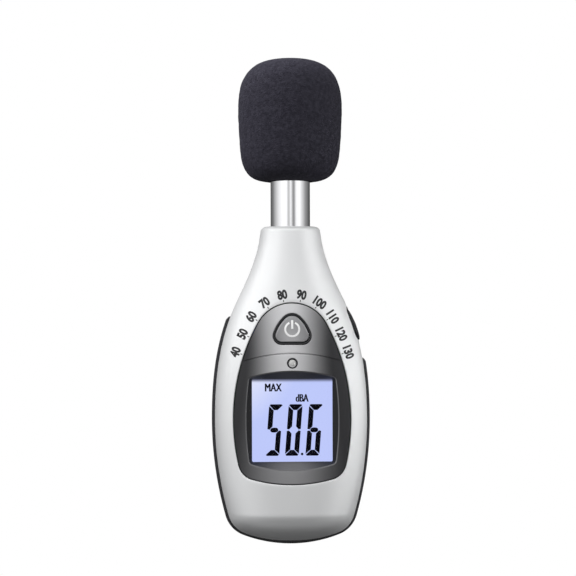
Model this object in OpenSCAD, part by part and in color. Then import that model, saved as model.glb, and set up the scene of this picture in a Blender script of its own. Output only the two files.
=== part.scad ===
// Hand-held sound level meter with a barrel microphone and a foam windscreen.
// Heights are built up from the foot of the meter and depths from the plane where the two
// shells meet; place() then puts the origin at the mouth of the tripod socket.
// +Z runs along the microphone, the display faces -Y and the battery door faces +Y.

/* [Housing outline] */
// Height of the housing, from the foot of the grip to the top of the neck
housing_h = 105.8; // [102:0.1:112]
// Half width of the housing at the belly
belly_half = 25.4; // [24.6:0.1:28]
// Height of the widest place
belly_z = 41.8; // [38:0.1:46]
// Half width where the shoulder turns into the neck
shoulder_half = 17.2; // [16.4:0.1:18.4]
// Height of that place
shoulder_z = 82.7; // [80:0.1:86]
// Half width at the top of the neck
neck_half = 10; // [9.8:0.1:11]
// Radius of the long curve of the lower side
side_r = 117.3; // [100:0.1:140]
// Radius of the lower corner
corner_r = 8.7; // [7.5:0.1:10]
// Radius of the foot
foot_r = 43.6; // [38:0.1:50]
// Radius of the edge at the top of the neck
neck_edge_r = 1.7; // [0.8:0.1:2]

/* [Housing depth] */
// Depth of the recess in front of the display window, at the belly
recess_depth = 2.95; // [2.65:0.05:5]
// How much shallower the front shell is at the shoulder
front_drop = 2.9; // [1.5:0.1:3.3]
// Depth of each shell at the top of the neck
neck_depth = 9.2; // [9.1:0.1:10.5]
// Depth from the parting plane to the flat back
rear_depth = 17.5; // [17:0.1:19]
// How far the curve of the back would stand out if it weren't made flat
back_cut = 1.3; // [1:0.1:2.5]
// How much shallower the rear shell is at the shoulder than at its flat back
rear_drop = 2.3; // [1:0.1:3]
// Thickness of the shell walls
wall = 2.2; // [1.8:0.1:2.5]

/* [Grip] */
// How far the rubber grip stands out of the shells
grip_proud = 1.05; // [0.6:0.05:2]
// How deep the grip sits in its groove
grip_seat = 0.8; // [0.5:0.1:1.2]
// Width of the grip in front of the parting plane
grip_front = 1.3; // [0.8:0.1:2]
// Width of the grip behind the parting plane
grip_back = 3.7; // [2:0.1:6]
// Height at which the grip ends on the left
grip_left_z = 76; // [70:0.5:80]
// Height at which the grip ends on the right, below the side button
grip_right_z = 62; // [55:0.5:64]

/* [Display panel] */
// Half width of the dark panel
panel_half = 19.25; // [18:0.05:20]
// Height of its widest place
panel_z = 42.3; // [40:0.1:44]
// Height of the top of the panel
panel_top = 80.5; // [80:0.1:82]
// Height of the bottom of the panel
panel_bottom = 21.3; // [20.5:0.1:22.5]
// Radius of the side curve of the panel
panel_side_r = 66; // [60:0.5:72]
// Radius of the bottom curve of the panel
panel_bottom_r = 52; // [40:0.5:60]
// Radius of the lower corners of the panel
panel_corner_r = 6; // [5:0.1:10]
// Thickness of the panel
panel_t = 1.3; // [1:0.1:1.5]
// Width of the ledge of the front shell that carries the panel
ledge_w = 1.2; // [0.8:0.1:1.6]
// Width of the visible part of the display
view_w = 26.3; // [25:0.1:27]
// Height of the visible part of the display
view_h = 27; // [26:0.1:28]
// Half width of the recess around the display
recess_half = 15.25; // [14.6:0.05:15.8]
// Half height of the recess at its middle
recess_half_h = 16.2; // [15.2:0.1:16.8]
// Radius of the corners of the recess
recess_corner_r = 1.6; // [1:0.1:2.5]
// Thickness of the display window
window_t = 1; // [0.8:0.1:1.2]
// How far the window reaches past the visible part on each side
window_lap = 1.1; // [0.8:0.1:1.4]

/* [Buttons and light] */
// Height of the centre of the power button
power_z = 71.9; // [71:0.1:73]
// Half width of the power button
power_half = 5.65; // [5:0.05:6]
// Height of the power button
power_h = 8.9; // [8.4:0.1:9.4]
// How far the power button stands out of the panel
power_proud = 0.5; // [0.2:0.1:0.8]
// Travel of the power button
power_travel = 0.6; // [0.3:0.1:0.7]
// Width of the rubber seal around the power button
seal_w = 0.7; // [0.5:0.05:1]
// Height of the middle of the side button
side_z = 73.5; // [73:0.1:74]
// Height of the side button, from end to end
side_h = 11; // [10:0.1:11.4]
// Width of the side button, from front to back
side_w = 5.6; // [5:0.1:6]
// How far the side button stands out of the shell
side_proud = 0.85; // [0.5:0.05:1.2]
// Travel of the side button
side_travel = 0.5; // [0.3:0.1:0.6]
// Height of the status light
led_z = 60.8; // [60.5:0.1:61.2]
// Radius of the lens of the status light
led_r = 1.15; // [1:0.05:1.25]
// Radius of the dark ring around the status light
led_ring_r = 1.8; // [1.6:0.05:2]

/* [Microphone] */
// Outer radius of the microphone barrel
tube_r = 6.6; // [6.35:0.05:6.7]
// Wall of the microphone barrel
tube_wall = 1.1; // [0.8:0.1:1.4]
// Height of the top of the barrel
tube_top = 133.5; // [130:0.5:136]
// Height of the foot of the barrel, inside the neck
tube_foot = 92; // [91:0.5:94]
// Thickness of the flange that the shells hold the barrel by
flange_t = 1.6; // [1.2:0.1:2]
// Height of the microphone capsule
capsule_h = 4; // [3:0.1:5]
// Height of the protection grid above the barrel
grid_h = 3; // [2:0.1:4]
// Radius of the foam windscreen
foam_r = 17.5; // [15:0.1:20]
// Height of the foot of the windscreen
foam_z = 120.7; // [118:0.1:124]
// Height of the windscreen
foam_h = 41.8; // [38:0.1:48]
// Distance that the windscreen is pulled to come off the barrel
foam_travel = 30; // [20:1:60]

/* [Battery and tripod] */
// Width of the battery
battery_w = 26.5; // [25.5:0.1:26.6]
// Length of the battery without its terminals
battery_l = 46.4; // [45:0.1:46.5]
// Thickness of the battery
battery_t = 17.5; // [15.5:0.1:17.5]
// Height of the terminals
terminal_h = 2.1; // [1.8:0.1:2.4]
// Height of the foot of the battery
battery_z = 12.2; // [12:0.1:12.6]
// Thickness of the walls of the battery box
box_wall = 1.2; // [1:0.1:1.3]
// Thickness of the battery door
door_t = 1.6; // [1.2:0.1:1.8]
// Distance that the battery door is lifted to come off
door_travel = 25; // [10:1:40]
// Height of the tripod socket
socket_z = 68.6; // [68.2:0.1:69]
// Radius inside the thread of the tripod socket
socket_r = 2.55; // [2.5:0.05:2.65]
// Depth of the tripod socket
socket_depth = 6.5; // [5:0.1:7]
// Outer radius of the threaded insert
insert_r = 4.5; // [4:0.1:4.8]

/* [Board] */
// Gap between the battery box and the circuit board
board_gap = 0.95; // [0.8:0.05:1.2]
// Thickness of the circuit board
board_t = 1.6; // [1.2:0.1:1.6]
// Distance of the edge of the board from the outline of the housing
board_inset = 4.6; // [4.4:0.1:5.4]
// Height of the lower edge of the board
board_z0 = 11.5; // [11:0.1:12.5]
// Height of the upper edge of the board
board_z1 = 90.5; // [90:0.1:91]
// Thickness of the backlight of the display
backlight_t = 2.4; // [2:0.1:2.6]
// Thickness of the display glass
glass_t = 2.3; // [2:0.1:2.4]

/* [Fasteners] */
// Radius of the screw posts of the front shell
post_r = 2.4; // [2.2:0.1:2.6]
// Radius of the screw sleeves of the rear shell
sleeve_r = 3.1; // [2.9:0.1:3.2]
// Radius of the shank of the case screws
screw_r = 1.25; // [1:0.05:1.3]
// Radius of the head of the case screws
head_r = 2.3; // [2:0.1:2.4]
// Depth of the seat of the case screws behind the parting plane
seat_y = 6; // [5:0.5:8]
// Radius of the board screws
board_screw_r = 0.9; // [0.7:0.05:1]
// Radius of the head of the board screws
board_head_r = 1.7; // [1.5:0.1:1.8]

/* [Clearances] */
// Gap around the buttons
button_gap = 0.15; // [0.1:0.05:0.2]
// Gap around the battery door
door_gap = 0.25; // [0.15:0.05:0.3]
// Gap around the battery in its box
battery_gap = 0.4; // [0.3:0.05:0.5]
// Gap between the windscreen and the barrel
foam_gap = 0.08; // [0.05:0.01:0.1]
// Gap around the screws in their holes
screw_gap = 0.2; // [0.1:0.05:0.3]
// Running gap between a switch plunger and its bore
plunger_gap = 0.08; // [0.05:0.01:0.1]
// Gap between pieces that are stacked behind the display
stack_gap = 0.2; // [0.1:0.05:0.25]
// Gap between the display glass and its window
window_gap = 0.6; // [0.3:0.1:0.7]
// Gap between the battery and the pad on its door
pad_gap = 0.15; // [0.1:0.05:0.3]

/* [Hidden] */

// Fineness of round pieces, and the steps of the faceted shell surfaces
$fn = 48;
ARC_STEPS = [5, 6, 5, 8, 6, 4];
AROUND = 28;

// Exponents of the cross-sections: 2 is an ellipse, more is squarer
FRONT_BELLY_N = 2.8;
REAR_BELLY_N = 3.4;
NECK_N = 2.3;
// The ends of the depth curves near the foot: rise height and exponent
FRONT_RISE = 10.45;
FRONT_RISE_N = 1.7;
REAR_RISE = 10.95;
REAR_RISE_N = 2.4;
// Where the depth starts to fall towards the neck
FRONT_FALL_Z = 50;
REAR_FALL_Z = 60;
// Slopes of the outline and of the two depth curves at the shoulder and at the neck
SHOULDER_SLOPE = -0.5;
NECK_SLOPE = -0.1;
FRONT_SLOPES = [-0.17, -0.12];
REAR_SLOPES = [-0.28, -0.25];

// The battery box, and the board in front of it
PAD_T = 0.35;
battery_y1 = rear_depth - door_t - PAD_T - pad_gap;
battery_y0 = battery_y1 - battery_t;
box_z0 = battery_z - battery_gap;
SNAP_H = 3.4;
SNAP_ROOM = 0.4;
battery_top = battery_z + battery_l;
box_z1 = battery_top + SNAP_H + SNAP_ROOM;
box_half = battery_w / 2 + battery_gap;
box_y0 = battery_y0 - battery_gap / 2;
board_y = box_wall - box_y0 + board_gap;
door_half = box_half + box_wall;
door_z0 = box_z0 - box_wall;
door_z1 = box_z1 + box_wall;
door_y = rear_depth - door_t;
backlight_y = -board_y - board_t;
glass_y = backlight_y - backlight_t - stack_gap;
window_y = glass_t - glass_y + window_gap + window_t;
front_depth = window_y + recess_depth;
front_shoulder = front_depth - front_drop;
rear_crown = rear_depth + back_cut;
rear_shoulder = rear_depth - rear_drop;
neck_z = housing_h - neck_edge_r;
foot_z = grip_proud;
side_c = [belly_half - side_r, belly_z];
foot_c = [0, foot_z + foot_r];

// The point at distance d1 from c1 and d2 from c2, on the right of the line from c1 to c2 when
// turn is -1 and on its left when turn is 1
function meet(c1, d1, c2, d2, turn = 1) =
  let (d = norm(c2 - c1), u = (c2 - c1) / d, a = (d1 * d1 - d2 * d2 + d * d) / (2 * d),
       h = sqrt(d1 * d1 - a * a))
  c1 + a * u + turn * h * [-u[1], u[0]];

function angle_to(from, to) = atan2(to[1] - from[1], to[0] - from[0]);

// Points on an arc, without its last one
function arc(c, r, a0, a1, steps) =
  [for (i = [0 : steps - 1]) let (a = a0 + (a1 - a0) * i / steps) c + r * [cos(a), sin(a)]];

function hermite(t, p0, p1, s0, s1, span) =
  (2 * t ^ 3 - 3 * t ^ 2 + 1) * p0 + (3 * t ^ 2 - 2 * t ^ 3) * p1
  + (t ^ 3 - 2 * t ^ 2 + t) * s0 * span + (t ^ 3 - t ^ 2) * s1 * span;

function hermite_slope(t, p0, p1, s0, s1, span) =
  ((6 * t ^ 2 - 6 * t) * (p0 - p1)) / span
  + (3 * t ^ 2 - 4 * t + 1) * s0 + (3 * t ^ 2 - 2 * t) * s1;

corner_c = meet(side_c, side_r - corner_r, foot_c, foot_r - corner_r, -1);
foot_a = angle_to(foot_c, corner_c);
side_a = angle_to(side_c, corner_c);

// Half width above the belly, and its slope
function upper_half(z) =
  z < shoulder_z
    ? hermite((z - belly_z) / (shoulder_z - belly_z), belly_half, shoulder_half, 0,
              SHOULDER_SLOPE, shoulder_z - belly_z)
    : hermite((z - shoulder_z) / (neck_z - shoulder_z), shoulder_half, neck_half,
              SHOULDER_SLOPE, NECK_SLOPE, neck_z - shoulder_z);
function upper_slope(z) =
  z < shoulder_z
    ? hermite_slope((z - belly_z) / (shoulder_z - belly_z), belly_half, shoulder_half, 0,
                    SHOULDER_SLOPE, shoulder_z - belly_z)
    : hermite_slope((z - shoulder_z) / (neck_z - shoulder_z), shoulder_half, neck_half,
                    SHOULDER_SLOPE, NECK_SLOPE, neck_z - shoulder_z);

// A point of the upper outline, moved in along its normal
function upper_point(z, inset) =
  let (s = upper_slope(z), k = inset / sqrt(1 + s * s)) [upper_half(z) - k, z + s * k];

// Half width of the housing at any height
function half_w(z) =
  z >= belly_z ? upper_half(z)
  : z >= corner_c[1] + (corner_c[1] - side_c[1]) * corner_r / (side_r - corner_r)
    ? side_c[0] + sqrt(side_r ^ 2 - (z - side_c[1]) ^ 2)
    : corner_c[0] + sqrt(max(0, corner_r ^ 2 - (z - corner_c[1]) ^ 2));

// The right side of the outline from the foot up to z_end, moved in by inset
function lower_outline(inset) = concat(
  arc(foot_c, foot_r - inset, -90, foot_a, ARC_STEPS[0]),
  arc(corner_c, corner_r - inset, foot_a, side_a, ARC_STEPS[1]),
  arc(side_c, side_r - inset, side_a, 0, ARC_STEPS[2]));
// The whole right side, up to the flat top of the neck
function side_outline(inset) =
  let (edge = max(0.05, neck_edge_r - inset), top = upper_point(neck_z, inset))
  concat(lower_outline(inset),
    [for (i = [0 : ARC_STEPS[3] - 1])
      upper_point(belly_z + (shoulder_z - belly_z) * i / ARC_STEPS[3], inset)],
    [for (i = [0 : ARC_STEPS[4] - 1])
      upper_point(shoulder_z + (neck_z - shoulder_z) * i / ARC_STEPS[4], inset)],
    [for (i = [0 : ARC_STEPS[5]]) let (a = 90 * i / ARC_STEPS[5])
      [top[0] - edge + edge * cos(a), housing_h - inset - edge + edge * sin(a)]]);

// Depth of a shell at height z, moved in by inset
function rise(z, inset, height, n) =
  let (u = (foot_z + height - z) / (height - inset)) u <= 0 ? 1 : max(0, 1 - u ^ n) ^ (1 / n);
function fall(z, crown, shoulder, fall_z, slopes) =
  z <= fall_z ? crown
  : z < shoulder_z
    ? hermite((z - fall_z) / (shoulder_z - fall_z), crown, shoulder, 0, slopes[0],
              shoulder_z - fall_z)
    : hermite((z - shoulder_z) / (housing_h - shoulder_z), shoulder, neck_depth, slopes[0],
              slopes[1], housing_h - shoulder_z);
function round_off(z, inset) =
  let (edge = max(0.05, neck_edge_r - inset), dz = z - (housing_h - inset - edge))
  dz <= 0 ? 0 : edge - sqrt(max(0, edge ^ 2 - dz ^ 2));
function front_d(z, inset = 0) =
  (fall(z, front_depth, front_shoulder, FRONT_FALL_Z, FRONT_SLOPES) - inset)
  * rise(z, inset, FRONT_RISE, FRONT_RISE_N) - round_off(z, inset);
function rear_d(z, inset = 0) =
  (fall(z, rear_crown, rear_shoulder, REAR_FALL_Z, REAR_SLOPES) - inset)
  * rise(z, inset, REAR_RISE, REAR_RISE_N) - round_off(z, inset);
function section_n(z, belly_n) =
  let (t = min(1, max(0, (z - belly_z) / (neck_z - belly_z)))) belly_n + (NECK_N - belly_n) * t;

// Depth of the front surface at a place on it
function front_at(x, z) =
  let (n = section_n(z, FRONT_BELLY_N)) front_d(z) * (1 - (abs(x) / half_w(z)) ^ n) ^ (1 / n);

// One ring of a shell surface: front is 1 for the front shell and 0 for the rear one
function shell_ring(p, inset, front) =
  let (w = p[0], z = p[1], d = front == 1 ? front_d(z, inset) : rear_d(z, inset),
       n = section_n(z, front == 1 ? FRONT_BELLY_N : REAR_BELLY_N), flat_y = rear_depth - inset)
  [for (j = [0 : AROUND]) let (a = 180 * j / AROUND, c = cos(a), s = sin(a),
       y = d * (j == 0 || j == AROUND ? 0 : s ^ (2 / n)))
    [sign(c) * w * abs(c) ^ (2 / n), front == 1 ? -y : min(flat_y, y), z]];

// A closed half of the housing, moved in by inset: one pole at the foot, rings up the side and
// a flat cap on the neck
module half_solid(inset, front) {
  rings = side_outline(inset);
  count = len(rings) - 1;
  row = AROUND + 1;
  points = concat([[0, 0, rings[0][1]]],
    [for (i = [1 : count]) each shell_ring(rings[i], inset, front)]);
  last = 1 + (count - 1) * row;
  skin = [for (i = [0 : count - 2], j = [0 : AROUND - 1]) let (a = 1 + i * row + j)
    each [[a, a + 1, a + row + 1], [a, a + row + 1, a + row]]];
  foot = [for (j = [0 : AROUND - 1]) [0, 2 + j, 1 + j]];
  cap = [[for (j = [0 : AROUND]) last + j]];
  back = [[0, for (i = [0 : count - 1]) 1 + i * row,
           for (i = [count - 1 : -1 : 0]) AROUND + 1 + i * row]];
  faces = concat(skin, foot, cap, back);
  polyhedron(points, front == 1 ? faces : [for (f = faces) [for (i = [len(f) - 1 : -1 : 0]) f[i]]]);
}

// Everything is drawn from the foot up and from the parting plane, then moved to the socket
module place() translate([0, -rear_depth, -socket_z]) children();

// A flat outline in the front view, given as [x, z] points, from depth y0 to depth y1
module front_prism(points, y0, y1)
  translate([0, y1, 0]) rotate([90, 0, 0]) linear_extrude(y1 - y0) polygon(points);

// A round bar along Y, from y0 to y1
module y_bar(x, z, r, y0, y1) translate([x, y1, z]) rotate([90, 0, 0]) cylinder(r = r, h = y1 - y0);

// A box from its two corners
module span_box(low, high) translate(low) cube(high - low);

module both_sides() { children(); mirror([1, 0, 0]) children(); }

/* Outlines of the front view */
panel_h = panel_top - panel_z;
panel_top_r = (panel_side_r ^ 2 - (panel_side_r - panel_half) ^ 2 - panel_h ^ 2)
  / (2 * (panel_side_r - panel_h));
panel_top_c = [0, panel_top - panel_top_r];
panel_side_c = [panel_half - panel_side_r, panel_z];
panel_bottom_c = [0, panel_bottom + panel_bottom_r];
panel_corner_c = meet(panel_side_c, panel_side_r - panel_corner_r,
                      panel_bottom_c, panel_bottom_r - panel_corner_r, -1);

function panel_right(inset) = concat(
  arc(panel_bottom_c, panel_bottom_r - inset, -90, angle_to(panel_bottom_c, panel_corner_c), 6),
  arc(panel_corner_c, panel_corner_r - inset, angle_to(panel_bottom_c, panel_corner_c),
      angle_to(panel_side_c, panel_corner_c), 5),
  arc(panel_side_c, panel_side_r - inset, angle_to(panel_side_c, panel_corner_c),
      angle_to(panel_side_c, panel_top_c), 10),
  arc(panel_top_c, panel_top_r - inset, angle_to(panel_side_c, panel_top_c), 90, 8),
  [panel_top_c + [0, panel_top_r - inset]]);
function closed_outline(right) =
  let (n = len(right)) concat(right, [for (i = [n - 2 : -1 : 1]) [-right[i][0], right[i][1]]]);

// The recess around the display: four long arcs with rounded corners
RECESS_SIDE_R = 97.6;
RECESS_TOP_R = 48;
view_z = panel_z - 0.2;
recess_side_c = [recess_half - RECESS_SIDE_R, view_z];
recess_top_c = [0, view_z + recess_half_h - RECESS_TOP_R];
recess_corner_c = meet(recess_side_c, RECESS_SIDE_R - recess_corner_r,
                       recess_top_c, RECESS_TOP_R - recess_corner_r, 1);
function recess_quarter(inset) = concat(
  arc(recess_side_c, RECESS_SIDE_R - inset, 0, angle_to(recess_side_c, recess_corner_c), 4),
  arc(recess_corner_c, recess_corner_r - inset, angle_to(recess_side_c, recess_corner_c),
      angle_to(recess_top_c, recess_corner_c), 4),
  arc(recess_top_c, RECESS_TOP_R - inset, angle_to(recess_top_c, recess_corner_c), 90, 5));
function flip_z(points) =
  [for (i = [len(points) - 1 : -1 : 0]) [points[i][0], 2 * view_z - points[i][1]]];
function recess_outline(inset) =
  let (q = recess_quarter(inset), top = recess_top_c + [0, RECESS_TOP_R - inset],
       right = concat([[0, 2 * view_z - top[1]]], flip_z([for (i = [1 : len(q) - 1]) q[i]]), q, [top]))
  closed_outline(right);

// The rounded triangle of the power button
POWER_TOP_R = 3.3;
POWER_FOOT_R = 2.2;
POWER_SIDE_R = 13;
power_top_c = [0, power_z + power_h / 2 - POWER_TOP_R];
power_foot_c = [power_half - POWER_FOOT_R, power_z - power_h / 2 + POWER_FOOT_R];
power_side_c = meet(power_foot_c, POWER_SIDE_R - POWER_FOOT_R,
                    power_top_c, POWER_SIDE_R - POWER_TOP_R, 1);
function power_outline(grow) = closed_outline(concat(
  [[0, power_z - power_h / 2 - grow]],
  arc(power_foot_c, POWER_FOOT_R + grow, -90, angle_to(power_side_c, power_foot_c), 7),
  arc(power_side_c, POWER_SIDE_R + grow, angle_to(power_side_c, power_foot_c),
      angle_to(power_side_c, power_top_c), 5),
  arc(power_top_c, POWER_TOP_R + grow, angle_to(power_side_c, power_top_c), 90, 7),
  [[0, power_z + power_h / 2 + grow]]));

// The grip seen from the front: a strip along the outline from the left end to the right end
GRIP_TAPER = 2.4;
function grip_side(z_end, inset, tapered) = concat(lower_outline(inset),
  [for (i = [0 : 10]) let (z = belly_z + (z_end - belly_z) * i / 10,
       k = tapered ? min(1, (z_end - z) / GRIP_TAPER) : 1) upper_point(z, inset * k)]);
function grip_path(inset, tapered) =
  let (left = grip_side(grip_left_z, inset, tapered), right = grip_side(grip_right_z, inset, tapered))
  concat([for (i = [len(left) - 1 : -1 : 1]) [-left[i][0], left[i][1]]], right);
module grip_strip() {
  outer = grip_path(-grip_proud, true);
  inner = grip_path(grip_seat, false);
  front_prism(concat(outer, [for (i = [len(inner) - 1 : -1 : 0]) inner[i]]), -grip_front, grip_back);
}

/* Places of the screws, as [x, z]: their distances are from the outline and the box */
function from_edge(z, distance) = [half_w(z) - distance, z];
SCREW_RISE = 49.8;
SCREW_INSET = 5.2;
FOOT_SCREW_SHIFT = [-2.55, -5.3];
BOARD_SCREW_END = 8.5;
BOARD_SCREW_INSET = [6.45, 8.3];
case_screw_at = from_edge(battery_z + SCREW_RISE, SCREW_INSET);
foot_screw_at = corner_c + FOOT_SCREW_SHIFT;
board_screw_low = from_edge(board_z0 + BOARD_SCREW_END, BOARD_SCREW_INSET[0]);
board_screw_high = from_edge(board_z1 - BOARD_SCREW_END, BOARD_SCREW_INSET[1]);

LEAD_R = 0.65;
LEAD_X = 3;
LEAD_Y = 4.5;
NOTCH = 1.1;

// How far the screws reach into their posts
SCREW_BITE = 6.5;
BOARD_SCREW_BITE = 2.6;

module front_shell() color("gainsboro") difference() {
  union() {
    difference() {
      half_solid(0, 1);
      half_solid(wall, 1);
    }
    intersection() {
      half_solid(wall / 2, 1);
      both_sides() {
        for (p = [case_screw_at, foot_screw_at]) y_bar(p[0], p[1], post_r, -front_depth, -0.2);
        for (p = [board_screw_low, board_screw_high])
          y_bar(p[0], p[1], post_r - 0.5, -front_depth, -board_y - board_t);
      }
    }
  }
  difference() {
    front_prism(closed_outline(panel_right(0)), -front_depth - 1, -1);
    half_solid(panel_t, 1);
  }
  front_prism(closed_outline(panel_right(ledge_w)), -front_depth - 1, -1);
  both_sides() {
    for (p = [case_screw_at, foot_screw_at]) y_bar(p[0], p[1], screw_r, -SCREW_BITE - 1, 1);
    for (p = [board_screw_low, board_screw_high])
      y_bar(p[0], p[1], board_screw_r, backlight_y - BOARD_SCREW_BITE - 0.4, -board_y);
  }
  translate([0, 0, tube_foot]) cylinder(r = tube_r, h = housing_h);
  grip_strip();
  side_slot();
}

module rear_shell() color("dimgray") difference() {
  union() {
    difference() {
      half_solid(0, 0);
      half_solid(wall, 0);
    }
    intersection() {
      half_solid(wall / 2, 0);
      union() {
        both_sides() for (p = [case_screw_at, foot_screw_at])
          y_bar(p[0], p[1], sleeve_r, 0.2, rear_depth);
        y_bar(0, socket_z, insert_r + wall, rear_depth - socket_depth - 2 * wall, rear_depth);
        span_box([-door_half, 0.2, door_z0], [door_half, rear_depth, door_z1]);
      }
    }
    span_box([-door_half, box_y0 - box_wall, door_z0], [door_half, 1, door_z1]);
  }
  span_box([-box_half, box_y0, box_z0], [box_half, rear_depth + 1, box_z1]);
  span_box([-door_half - door_gap, door_y - door_gap, door_z0 - door_gap],
           [door_half + door_gap, rear_depth + 1, door_z1 + door_gap]);
  both_sides() for (p = [case_screw_at, foot_screw_at]) {
    y_bar(p[0], p[1], screw_r + screw_gap, -1, rear_depth);
    y_bar(p[0], p[1], head_r + screw_gap, seat_y, rear_depth + 1);
  }
  y_bar(0, socket_z, insert_r, rear_depth - socket_depth - 0.8, rear_depth + 1);
  both_sides() span_box([LEAD_X - NOTCH, LEAD_Y - NOTCH, box_z1 - 1],
                        [LEAD_X + NOTCH, LEAD_Y + NOTCH, door_z1 + 1]);
  translate([0, 0, tube_foot]) cylinder(r = tube_r, h = housing_h);
  grip_strip();
}

module grip_band() color("#1c1c20") grip_strip();

// The panel follows the shell, and its frame reaches back to the display window
FRAME_WALL = 1.1;
FRAME_SINK = 0.4;
FRAME_FLOOR = 0.4;
module display_panel() color("#4a4a4d") difference() {
  union() {
    difference() {
      intersection() {
        front_prism(closed_outline(panel_right(0)), -front_depth - 1, -1);
        half_solid(0, 1);
      }
      half_solid(panel_t, 1);
    }
    intersection() {
      half_solid(FRAME_SINK, 1);
      front_prism(recess_outline(-FRAME_WALL), -front_depth, -window_y + window_t);
    }
  }
  front_prism(recess_outline(0), -front_depth - 1, -window_y - FRAME_FLOOR);
  view_block(0, -front_depth, -window_y + window_t + 1);
  view_block(window_lap, -window_y, -window_y + window_t + 1);
  front_prism(power_outline(seal_w), -front_depth - 1, -1);
  y_bar(0, led_z, led_ring_r, -front_depth - 1, -1);
}

// A block over the visible part of the display, made larger by lap
module view_block(lap, y0, y1)
  span_box([-view_w / 2 - lap, y0, view_z - view_h / 2 - lap],
           [view_w / 2 + lap, y1, view_z + view_h / 2 + lap]);

module display_window() color([0.8, 0.85, 0.9, 0.4])
  view_block(window_lap - 0.05, -window_y, -window_y + window_t);

GLASS_LAP = 2.2;
BACKLIGHT_LAP = 1.6;
GLASS_FOOT = 2.6;
module lcd_backlight() color("white")
  view_block(BACKLIGHT_LAP, backlight_y - backlight_t, backlight_y);
module lcd_glass() color("#b9c4f2")
  span_box([-view_w / 2 - GLASS_LAP, glass_y - glass_t, view_z - view_h / 2 - GLASS_LAP - GLASS_FOOT],
           [view_w / 2 + GLASS_LAP, glass_y, view_z + view_h / 2 + GLASS_LAP]);
module zebra_strip() color("#d98a9a")
  span_box([-view_w / 2, glass_y, view_z - view_h / 2 - GLASS_LAP - GLASS_FOOT + 0.3],
           [view_w / 2, backlight_y, view_z - view_h / 2 - GLASS_LAP]);

/* Power button, its seal and its switch */
power_face = front_d(power_z) + power_proud;
SWITCH_HALF = 3;
SWITCH_H = 3.4;
SWITCH_FLOOR = 0.6;
POWER_PLUNGER_R = 1.6;
switch_face = backlight_y - SWITCH_H;
FLANGE = 1.2;
flange_y = -front_at(0, power_z + power_h / 2) + panel_t + 0.5;
module power_button() color("#9a9a9c") {
  front_prism(power_outline(-button_gap), -power_face, flange_y + 0.9);
  front_prism(power_outline(FLANGE - 0.3), flange_y, flange_y + 0.9);
  y_bar(0, power_z, POWER_PLUNGER_R + 0.6, flange_y + 0.5, switch_face - power_travel - 0.4);
}
module power_seal() color("#101012") difference() {
  front_prism(power_outline(seal_w), -power_face + 0.3, -front_at(0, power_z) + panel_t);
  front_prism(power_outline(0), -power_face, -1);
}
module power_switch() color("#2b2b2e") difference() {
  span_box([-SWITCH_HALF, switch_face, power_z - SWITCH_HALF],
           [SWITCH_HALF, backlight_y, power_z + SWITCH_HALF]);
  y_bar(0, power_z, POWER_PLUNGER_R + plunger_gap, switch_face - 1, backlight_y - SWITCH_FLOOR);
}
module power_plunger() color("#c8c8ca")
  y_bar(0, power_z, POWER_PLUNGER_R, switch_face - power_travel - 0.4,
        backlight_y - SWITCH_FLOOR - power_travel - 0.3);

/* Side button and its switch */
SIDE_Y = -3.3;
side_inner_x = half_w(side_z) - wall - 2.6;
SIDE_FLANGE = 0.5;
SIDE_FLANGE_T = 0.6;
SIDE_ROOM = 0.25;
SIDE_SWITCH_L = 3.6;
SIDE_PLUNGER_R = 1.2;
side_switch_x = side_inner_x - side_travel - 0.5;
// The shape of the side button seen along X: straight flanks and round ends
function side_lens(grow) =
  let (r = side_w / 2 + grow, reach = side_h / 2 - side_w / 2)
  [for (i = [0 : 24]) let (a = 180 * i / 24) [SIDE_Y + r * cos(a), side_z + reach + r * sin(a)],
   for (i = [0 : 24]) let (a = 180 + 180 * i / 24) [SIDE_Y + r * cos(a), side_z - reach + r * sin(a)]];
module side_prism(grow, x0, x1)
  translate([x0, 0, 0]) rotate([90, 0, 90]) linear_extrude(x1 - x0) polygon(side_lens(grow));
module side_slot() {
  side_prism(button_gap, side_inner_x + SIDE_FLANGE_T, belly_half);
  side_prism(SIDE_FLANGE + button_gap, side_inner_x - side_travel - SIDE_ROOM,
             side_inner_x + SIDE_FLANGE_T + SIDE_ROOM);
}
module side_button() color("#17171a") {
  intersection() {
    side_prism(0, side_inner_x + SIDE_FLANGE_T / 2, belly_half);
    side_bulge();
  }
  intersection() {
    side_prism(SIDE_FLANGE, side_inner_x, side_inner_x + SIDE_FLANGE_T);
    span_box([0, -front_depth, 0], [belly_half, -0.3, housing_h]);
  }
}
// Fuller at its lower end, and level with the shell at its upper end
SIDE_SINK = 0.35;
SIDE_FULLNESS = 1.6;
module side_bulge() {
  z0 = side_z - side_h / 2;
  outer = [for (i = [0 : 12]) let (t = i / 12, z = z0 + side_h * t)
    [half_w(z) + side_proud * sin(90 * min(1, (1 - t) * SIDE_FULLNESS)) - SIDE_SINK, z]];
  front_prism(concat([[side_inner_x, z0 + side_h], [side_inner_x, z0]], outer), -front_depth, 0);
}
module side_switch() color("#2b2b2e") difference() {
  span_box([side_switch_x - SIDE_SWITCH_L, -board_y, side_z - SWITCH_HALF],
           [side_switch_x, -board_y + 3.4, side_z + SWITCH_HALF]);
  translate([side_switch_x - SIDE_SWITCH_L + 1, -board_y + 1.7, side_z]) rotate([0, 90, 0])
    cylinder(r = SIDE_PLUNGER_R + plunger_gap, h = SIDE_SWITCH_L);
}
module side_plunger() color("#c8c8ca")
  translate([side_switch_x - SIDE_SWITCH_L + 1 + side_travel + 0.3, -board_y + 1.7, side_z])
    rotate([0, 90, 0])
      cylinder(r = SIDE_PLUNGER_R, h = side_inner_x - side_switch_x + SIDE_SWITCH_L - 1.3 - side_travel);

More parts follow.
